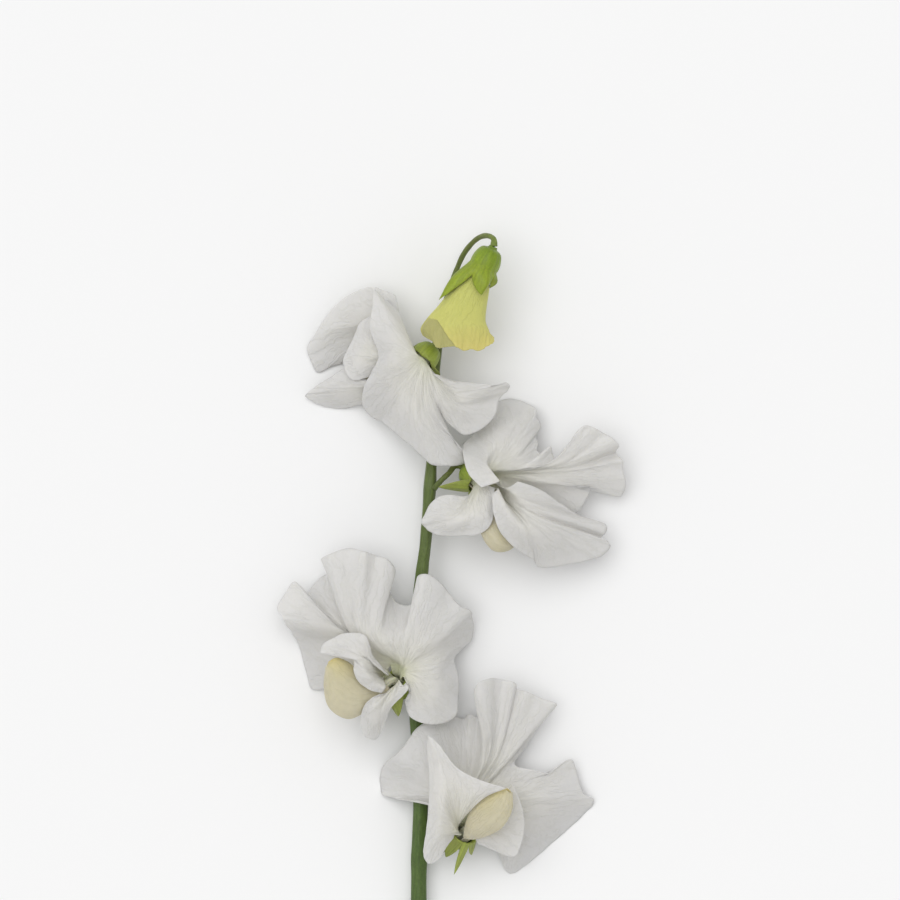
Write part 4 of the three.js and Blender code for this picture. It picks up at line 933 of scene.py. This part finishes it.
def pistil_mesh(line):
    """Ovary, style and a small round stigma."""
    share = np.linspace(0, 1, len(line))
    radius = 0.26 - 0.12 * smooth(share, 0.5, 0.8) + 0.14 * smooth(share, 0.94, 0.985)
    rings = rod_rings(line, radius, PISTIL_SIDES)
    around = by_column(turns(PISTIL_SIDES), len(line))
    return ring_mesh(rings, {"across": around, "outward": by_row(share, PISTIL_SIDES)})


# ---- Bud ------------------------------------------------------------------------------------------


def bud_mesh(cup):
    """The folded petals: a bell with a crinkled lip that turns back into its mouth, and a seam where
    the front petal ends over the edge of the one behind, which is darkened there by painted shade."""
    rim = arr(BUD["rim"])
    count = len(rim)
    angle = np.linspace(0, 2 * math.pi, count, endpoint=False)
    rings = [cup["at"](BUD_THROAT - 0.4, 90 - np.degrees(angle), np.full(count, 1.6))]
    rings.append(cup["at"](BUD_THROAT, 90 - np.degrees(angle), np.full(count, CUP_LENGTH)))
    for section in BUD["body"]:
        left, right = arr(section["left"]), arr(section["right"])
        height = arr([0, 0, section["depth"]])
        across = np.cos(angle)[:, None] * (left - right) / 2
        rings.append((left + right) / 2 + across + np.sin(angle)[:, None] * height)
    rings.append(rim)
    outline = spline(arr(rings), np.arange(BUD_COLUMNS) * count / BUD_COLUMNS, closed=True)
    share = turns(BUD_COLUMNS)
    columns = np.swapaxes(outline, 0, 1)
    rows = len(rings) - 1
    at = np.concatenate([np.linspace(0, 1, 5)[:-1], np.linspace(1, rows, BUD_ROWS)])
    bell = np.swapaxes(spline(columns, at), 0, 1)
    t = np.clip((at - 1) / (rows - 1), 0, 1)[:, None]
    centre = bell.mean(1, keepdims=True)
    outward = unit(bell - centre)
    front = smooth(np.sin(2 * math.pi * share), 0.0, 0.2)[None, :]
    seam_x = np.interp(bell[..., 1], SEAM[::-1, 1], SEAM[::-1, 0])
    beside = bell[..., 0] - seam_x
    low = smooth(bell[..., 1], SEAM[0, 1] + 0.4, SEAM[0, 1] - 0.8)
    under = front * low * smooth(beside, 0.12, -0.12)
    edge = front * low * np.exp(-((np.maximum(beside, 0) / 0.7) ** 2)) * (beside > -0.12)
    folds = 0.16 * ruffle(share[None, :], t, 40, 7, 0.6) * t**1.5
    crinkle = 0.10 * ruffle(share[None, :], t, 41, 26, 1.5) * smooth(t, 0.7, 1.0)
    shift = folds + crinkle - SEAM_DEPTH * under + SEAM_BEAD * edge
    bell = bell + shift[..., None] * outward
    lip = bell[-1]
    middle = lip.mean(0)
    inside = []
    for inwards, depth in ((0.04, -0.12), (0.12, 0.1), (0.3, 1.0), (0.65, 2.6)):
        inside.append(lip + inwards * (middle - lip) - depth * cup["axis"])
    whole = np.concatenate([bell, arr(inside)])
    out = np.concatenate([t[:, 0], [1.02, 1.1, 1.3, 1.6]])[:, None] * np.ones(BUD_COLUMNS)
    # painted shade: the back petal's colour is darkened and greyed where it lies under the front petal's
    # edge
    seam_shade = np.concatenate([under, np.repeat(under[-1:], 4, axis=0)])
    around = np.broadcast_to(share, out.shape)
    return ring_mesh(whole, {"across": around, "outward": out, "seam_shade": seam_shade})


# ---- Materials ------------------------------------------------------------------------------------


def add_node(tree, kind, inputs=(), **settings):
    made = tree.nodes.new(kind)
    for key, value in settings.items():
        setattr(made, key, value)
    for key, value in dict(inputs).items():
        if isinstance(value, bpy.types.NodeSocket):
            tree.links.new(value, made.inputs[key])
        else:
            made.inputs[key].default_value = value
    return made


def new_material(name, **constants):
    made = bpy.data.materials.new(name)
    made.use_nodes = True
    shader = made.node_tree.nodes["Principled BSDF"]
    for key, value in constants.items():
        shader.inputs[key.replace("_", " ")].default_value = value
    return made, made.node_tree, shader


def attribute(tree, name):
    return add_node(tree, "ShaderNodeAttribute", attribute_name=name).outputs["Fac"]


def ramp(tree, factor, stops):
    made = add_node(tree, "ShaderNodeValToRGB", {"Fac": factor})
    elements = made.color_ramp.elements
    while len(elements) < len(stops):
        elements.new(0.5)
    for element, (place, colour) in zip(elements, stops):
        element.position = place
        element.color = (*colour, 1.0)
    return made.outputs["Color"]


def scaled(tree, value, low, high, to_low, to_high):
    inputs = {"Value": value, "From Min": low, "From Max": high, "To Min": to_low, "To Max": to_high}
    return add_node(tree, "ShaderNodeMapRange", inputs, clamp=True).outputs["Result"]


def maths(tree, operation, a, b=0.0):
    return add_node(tree, "ShaderNodeMath", {0: a, 1: b}, operation=operation).outputs[0]


def blended(tree, kind, factor, a, b):
    made = add_node(tree, "ShaderNodeMix", data_type="RGBA", blend_type=kind)
    for socket, value in ((made.inputs[0], factor), (made.inputs[6], a), (made.inputs[7], b)):
        if isinstance(value, bpy.types.NodeSocket):
            tree.links.new(value, socket)
        else:
            socket.default_value = value
    return made.outputs[2]


def in_object(tree):
    return add_node(tree, "ShaderNodeTexCoord").outputs["Object"]


def noise(tree, where, scale, detail=3.0, roughness=0.5):
    inputs = {"Vector": where, "Scale": scale, "Detail": detail, "Roughness": roughness}
    return add_node(tree, "ShaderNodeTexNoise", inputs).outputs["Fac"]


def petal_veins(tree, across, outward, count):
    """Fine lines that run out along a petal and fork: 1 on a vein, 0 between."""
    where = in_object(tree)
    bend = scaled(tree, noise(tree, where, 260.0, 2.0), 0, 1, -0.035, 0.035)
    spread = maths(tree, "MULTIPLY", maths(tree, "ADD", across, bend), count)
    fine = scaled(tree, noise(tree, where, 700.0, 2.0), 0, 1, -0.3, 0.3)
    place = add_node(
        tree,
        "ShaderNodeCombineXYZ",
        {"X": maths(tree, "ADD", spread, fine), "Y": maths(tree, "MULTIPLY", outward, 2.5)},
    ).outputs[0]
    streak = noise(tree, place, 1.0, 2.0, 0.6)
    ridge = maths(tree, "ABSOLUTE", maths(tree, "SUBTRACT", streak, 0.5))
    return scaled(tree, ridge, 0.0, 0.055, 1.0, 0.0)


def bumped(tree, shader, height, distance, strength=1.0):
    inputs = {"Height": height, "Distance": distance, "Strength": strength}
    made = add_node(tree, "ShaderNodeBump", inputs)
    tree.links.new(made.outputs["Normal"], shader.inputs["Normal"])


def petal_material(name, stops, vein_tint, vein_share, roughness=(0.55, 0.72)):
    """Thin petal: colour by how far out it is, veins, faint mottling, a soft waxy sheen."""
    made, tree, shader = new_material(
        name,
        Subsurface_Weight=0.35,
        Subsurface_Scale=0.0012,
        Subsurface_Radius=(1.0, 0.95, 0.8),
        IOR=1.38,
        Specular_IOR_Level=0.3,
        Sheen_Weight=0.12,
        Sheen_Roughness=0.45,
    )
    where = in_object(tree)
    across, outward = attribute(tree, "across"), attribute(tree, "outward")
    wavering = scaled(tree, noise(tree, where, 120.0), 0, 1, -0.06, 0.06)
    base = ramp(tree, maths(tree, "ADD", outward, wavering), stops)
    # painted shade: where the bud's back petal lies under the front petal's edge, its colour is blended
    # towards a darker grey tint
    base = blended(tree, "MIX", attribute(tree, "seam_shade"), base, (*SEAM_SHADE_TINT, 1))
    cloud = scaled(tree, noise(tree, where, 75.0, 4.0, 0.6), 0.3, 0.7, 0.955, 1.02)
    grain = scaled(tree, noise(tree, where, 1500.0, 2.0), 0.3, 0.7, 0.975, 1.01)
    cloudy = blended(tree, "MULTIPLY", 1.0, base, maths(tree, "MULTIPLY", cloud, grain))
    veins = petal_veins(tree, across, outward, 26.0)
    veined = blended(tree, "MIX", maths(tree, "MULTIPLY", veins, vein_share), cloudy, (*vein_tint, 1))
    tree.links.new(veined, shader.inputs["Base Color"])
    patchy = scaled(tree, noise(tree, where, 420.0, 3.0), 0.3, 0.7, *roughness)
    tree.links.new(patchy, shader.inputs["Roughness"])
    cells = maths(tree, "MULTIPLY", noise(tree, where, 2400.0, 2.0), 0.25)
    bumped(tree, shader, maths(tree, "ADD", veins, cells), 0.00006)
    return made


def keel_material():
    made, tree, shader = new_material(
        "cream_petal",
        Subsurface_Weight=0.35,
        Subsurface_Scale=0.0014,
        Subsurface_Radius=(1.0, 0.9, 0.6),
        IOR=1.38,
        Specular_IOR_Level=0.35,
        Sheen_Weight=0.1,
    )
    where = in_object(tree)
    across, outward, upper = (attribute(tree, name) for name in ("across", "outward", "upper"))
    wavering = scaled(tree, noise(tree, where, 140.0), 0, 1, -0.12, 0.12)
    far = scaled(tree, outward, 0.25, 0.95, 0.0, 0.6)
    gold = maths(tree, "ADD", maths(tree, "MULTIPLY", upper, far), wavering)
    base = ramp(
        tree,
        maths(tree, "ADD", gold, scaled(tree, outward, 0.0, 1.0, 0.05, 0.35)),
        KEEL_STOPS,
    )
    grain = scaled(tree, noise(tree, where, 900.0, 3.0), 0.3, 0.7, 0.96, 1.02)
    grained = blended(tree, "MULTIPLY", 1.0, base, grain)
    veins = petal_veins(tree, across, outward, 16.0)
    veined = blended(tree, "MIX", maths(tree, "MULTIPLY", veins, 0.12), grained, (*KEEL_VEIN, 1))
    tree.links.new(veined, shader.inputs["Base Color"])
    patchy = scaled(tree, noise(tree, where, 300.0), 0.3, 0.7, 0.42, 0.6)
    tree.links.new(patchy, shader.inputs["Roughness"])
    bumped(tree, shader, maths(tree, "ADD", veins, noise(tree, where, 2000.0)), 0.00005)
    return made


def green_material(name, stops, streaks, coarse, roughness):
    """A stem's or calyx's skin: colour along the organ, fine lengthways streaks and pores."""
    made, tree, shader = new_material(
        name,
        Subsurface_Weight=0.12,
        Subsurface_Scale=0.0008,
        Subsurface_Radius=(0.5, 1.0, 0.2),
        Specular_IOR_Level=0.4,
        Sheen_Weight=0.08,
    )
    where = in_object(tree)
    across, outward = attribute(tree, "across"), attribute(tree, "outward")
    wavering = scaled(tree, noise(tree, where, 150.0, 4.0), 0, 1, -0.18, 0.18)
    base = ramp(tree, maths(tree, "ADD", outward, wavering), stops)
    line = add_node(
        tree,
        "ShaderNodeCombineXYZ",
        {"X": maths(tree, "MULTIPLY", across, streaks), "Y": maths(tree, "MULTIPLY", outward, coarse)},
    ).outputs[0]
    streak = noise(tree, line, 1.0, 4.0, 0.65)
    light = scaled(tree, streak, 0.3, 0.7, 0.74, 1.22)
    pores = scaled(tree, noise(tree, where, 2600.0, 2.0), 0.3, 0.7, 0.9, 1.08)
    skin = blended(tree, "MULTIPLY", 1.0, base, maths(tree, "MULTIPLY", light, pores))
    tree.links.new(skin, shader.inputs["Base Color"])
    patchy = scaled(tree, noise(tree, where, 500.0, 3.0), 0.3, 0.7, *roughness)
    tree.links.new(patchy, shader.inputs["Roughness"])
    bumped(tree, shader, maths(tree, "ADD", streak, pores), 0.0001)
    return made, tree, shader, skin


def stem_material():
    """The stem's skin, with fine lengthways streaks, and a light green pithy face at the cut."""
    made, tree, shader, skin = green_material("stem_skin", STEM_STOPS, 22.0, 60.0, (0.42, 0.62))
    cut = attribute(tree, "cut")
    where = in_object(tree)
    pith = ramp(tree, noise(tree, where, 1800.0, 3.0), CUT_STOPS)
    tree.links.new(blended(tree, "MIX", cut, skin, pith), shader.inputs["Base Color"])
    return made


# ---- Colours, linear ------------------------------------------------------------------------------

PETAL_STOPS = [
    (0.0, (0.66, 0.68, 0.44)),
    (0.1, (0.72, 0.71, 0.58)),
    (0.3, (0.70, 0.685, 0.625)),
    (0.65, (0.675, 0.66, 0.63)),
    (1.0, (0.675, 0.665, 0.645)),
]
VEIN_TINT = (0.56, 0.56, 0.48)
# painted shade tint for the bud's back petal under the front petal's edge
SEAM_SHADE_TINT = (0.44, 0.42, 0.17)
KEEL_STOPS = [
    (0.0, (0.62, 0.57, 0.43)),
    (0.45, (0.60, 0.545, 0.37)),
    (0.75, (0.62, 0.54, 0.28)),
    (1.0, (0.64, 0.52, 0.19)),
]
KEEL_VEIN = (0.42, 0.40, 0.22)
BUD_STOPS = [
    (0.0, (0.44, 0.50, 0.10)),
    (0.3, (0.57, 0.58, 0.17)),
    (0.75, (0.60, 0.59, 0.18)),
    (1.0, (0.62, 0.55, 0.18)),
]
BUD_VEIN = (0.40, 0.42, 0.12)
STEM_STOPS = [
    (0.0, (0.062, 0.118, 0.022)),
    (0.5, (0.085, 0.128, 0.024)),
    (1.0, (0.125, 0.158, 0.034)),
]
CUT_STOPS = [(0.35, (0.36, 0.42, 0.20)), (0.65, (0.55, 0.58, 0.34))]
STALK_STOPS = [(0.0, (0.10, 0.135, 0.03)), (0.6, (0.14, 0.165, 0.04)), (1.0, (0.17, 0.23, 0.035))]
CALYX_STOPS = [(0.0, (0.22, 0.31, 0.03)), (0.5, (0.27, 0.34, 0.04)), (1.0, (0.30, 0.34, 0.075))]
BUD_CALYX_STOPS = [(0.0, (0.13, 0.21, 0.012)), (0.45, (0.20, 0.29, 0.01)), (1.0, (0.27, 0.34, 0.02))]
FILAMENT_STOPS = [(0.0, (0.55, 0.56, 0.40)), (1.0, (0.62, 0.60, 0.48))]
PISTIL_STOPS = [(0.0, (0.25, 0.35, 0.09)), (1.0, (0.42, 0.46, 0.20))]


# ---- Build ----------------------------------------------------------------------------------------

stem_box = [arr(corner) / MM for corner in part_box("stem")]
stem_vertices, stem_faces, stem_attributes = stem_mesh()
plan_centre = (stem_vertices.min(0) + stem_vertices.max(0)) / 2
SHIFT = (stem_box[0] + stem_box[1]) / 2 - plan_centre


def to_row(points):
    return (arr(points) + SHIFT) * MM


LOOKS = {
    "petal_white": petal_material("white_petal", PETAL_STOPS, VEIN_TINT, 0.16),
    "bud_petal_green": petal_material("green_petal", BUD_STOPS, BUD_VEIN, 0.12, (0.45, 0.62)),
    "keel_cream": keel_material(),
    "stem_green": stem_material(),
    "stalk_green": green_material("stalk_skin", STALK_STOPS, 14.0, 12.0, (0.45, 0.62))[0],
    "calyx_green": green_material("calyx_skin", CALYX_STOPS, 9.0, 3.0, (0.42, 0.6))[0],
    "bud_calyx_green": green_material("bud_calyx_skin", BUD_CALYX_STOPS, 9.0, 3.0, (0.38, 0.55))[0],
    "filament_cream": green_material("filament_skin", FILAMENT_STOPS, 9.0, 12.0, (0.45, 0.6))[0],
    "pistil_green": green_material("pistil_skin", PISTIL_STOPS, 6.0, 12.0, (0.4, 0.55))[0],
}


def piece(node, parts, slot):
    """The visible surface that stands for a CAD node, with the look of its material slot."""
    vertices, faces, attributes = parts
    return make_object(f"{node}_surface", vertices, faces, attributes, LOOKS[slot], node)


def build_flower(number, flower):
    cup = cup_frame(flower["calyx"])
    seed = 100 * number
    piece(f"pedicel_{number}", stalk_mesh(number, cup), "stalk_green")
    piece(f"calyx_{number}", calyx_mesh(flower["calyx"], seed), "calyx_green")
    line = hollow_line(cup, flower["keel"])
    piece(f"pistil_{number}", pistil_mesh(line), "pistil_green")
    piece(f"stamen_column_{number}", column_mesh(line), "filament_cream")
    piece(f"keel_{number}", keel_mesh(cup, flower["keel"], seed + 10), "keel_cream")
    left, right = wing_claws(cup, flower["left_wing"], flower["right_wing"])
    claws = {"left_wing": left, "right_wing": right, "standard": STANDARD_CLAW}
    for k, (name, claw) in enumerate(claws.items()):
        creases = CREASES.get((name, number), [])
        mesh = petal_mesh(cup, flower[name], claw, seed + 20 + 5 * k, creases)
        piece(f"{name}_{number}", mesh, "petal_white")


piece("stem", (stem_vertices, stem_faces, stem_attributes), "stem_green")
for number, flower in FLOWERS.items():
    build_flower(number, flower)
bud_cup = cup_frame(BUD["calyx"])
piece("pedicel_5", stalk_mesh(5, bud_cup), "stalk_green")
piece("calyx_5", calyx_mesh(BUD["calyx"], 500), "bud_calyx_green")
piece("bud_petals", bud_mesh(bud_cup), "bud_petal_green")


# ---- Floor, light and camera ----------------------------------------------------------------------


def make_floor():
    half = 4.0
    mesh = bpy.data.meshes.new("floor")
    corners = [(-half, -half, 0), (half, -half, 0), (half, half, 0), (-half, half, 0)]
    mesh.from_pydata(corners, [], [(0, 1, 2, 3)])
    made, tree, shader = new_material("floor_white", Roughness=0.9, Specular_IOR_Level=0.1)
    shade = scaled(tree, noise(tree, in_object(tree), 3.0), 0.3, 0.7, 0.895, 0.9)
    tree.links.new(shade, shader.inputs["Base Color"])
    mesh.materials.append(made)
    floor = bpy.data.objects.new("floor", mesh)
    bpy.context.scene.collection.objects.link(floor)


def make_sun(name, direction, strength, spread):
    """A soft light that shines along `direction`, `spread` degrees wide."""
    light = bpy.data.lights.new(name, "SUN")
    light.energy = strength
    light.angle = math.radians(spread)
    lamp = bpy.data.objects.new(name, light)
    lamp.rotation_mode = "QUATERNION"
    lamp.rotation_quaternion = Vector(direction).to_track_quat("-Z", "Y")
    bpy.context.scene.collection.objects.link(lamp)


def make_world(strength):
    world = bpy.data.worlds.new("studio")
    world.use_nodes = True
    background = world.node_tree.nodes["Background"]
    background.inputs["Color"].default_value = (1, 1, 1, 1)
    background.inputs["Strength"].default_value = strength
    bpy.context.scene.world = world


def make_camera(target, width, lens):
    """Looks straight down on a plan point, with `width` millimetres of the plan across the frame."""
    data = bpy.data.cameras.new("camera")
    data.lens = lens
    data.clip_end = 50.0
    camera = bpy.data.objects.new("camera", data)
    distance = width * lens / data.sensor_width
    camera.location = to_row((*target[:2], target[2] + distance))
    camera.rotation_euler = (0, 0, 0)
    bpy.context.scene.collection.objects.link(camera)
    bpy.context.scene.camera = camera


make_floor()
make_world(0.62)
make_sun("main_light", (0.22, -0.25, -1.0), 1.4, 60)
make_camera((7.2, 101.25, 12.0), 202.5, 400.0)
bpy.context.scene.view_settings.view_transform = "Standard"
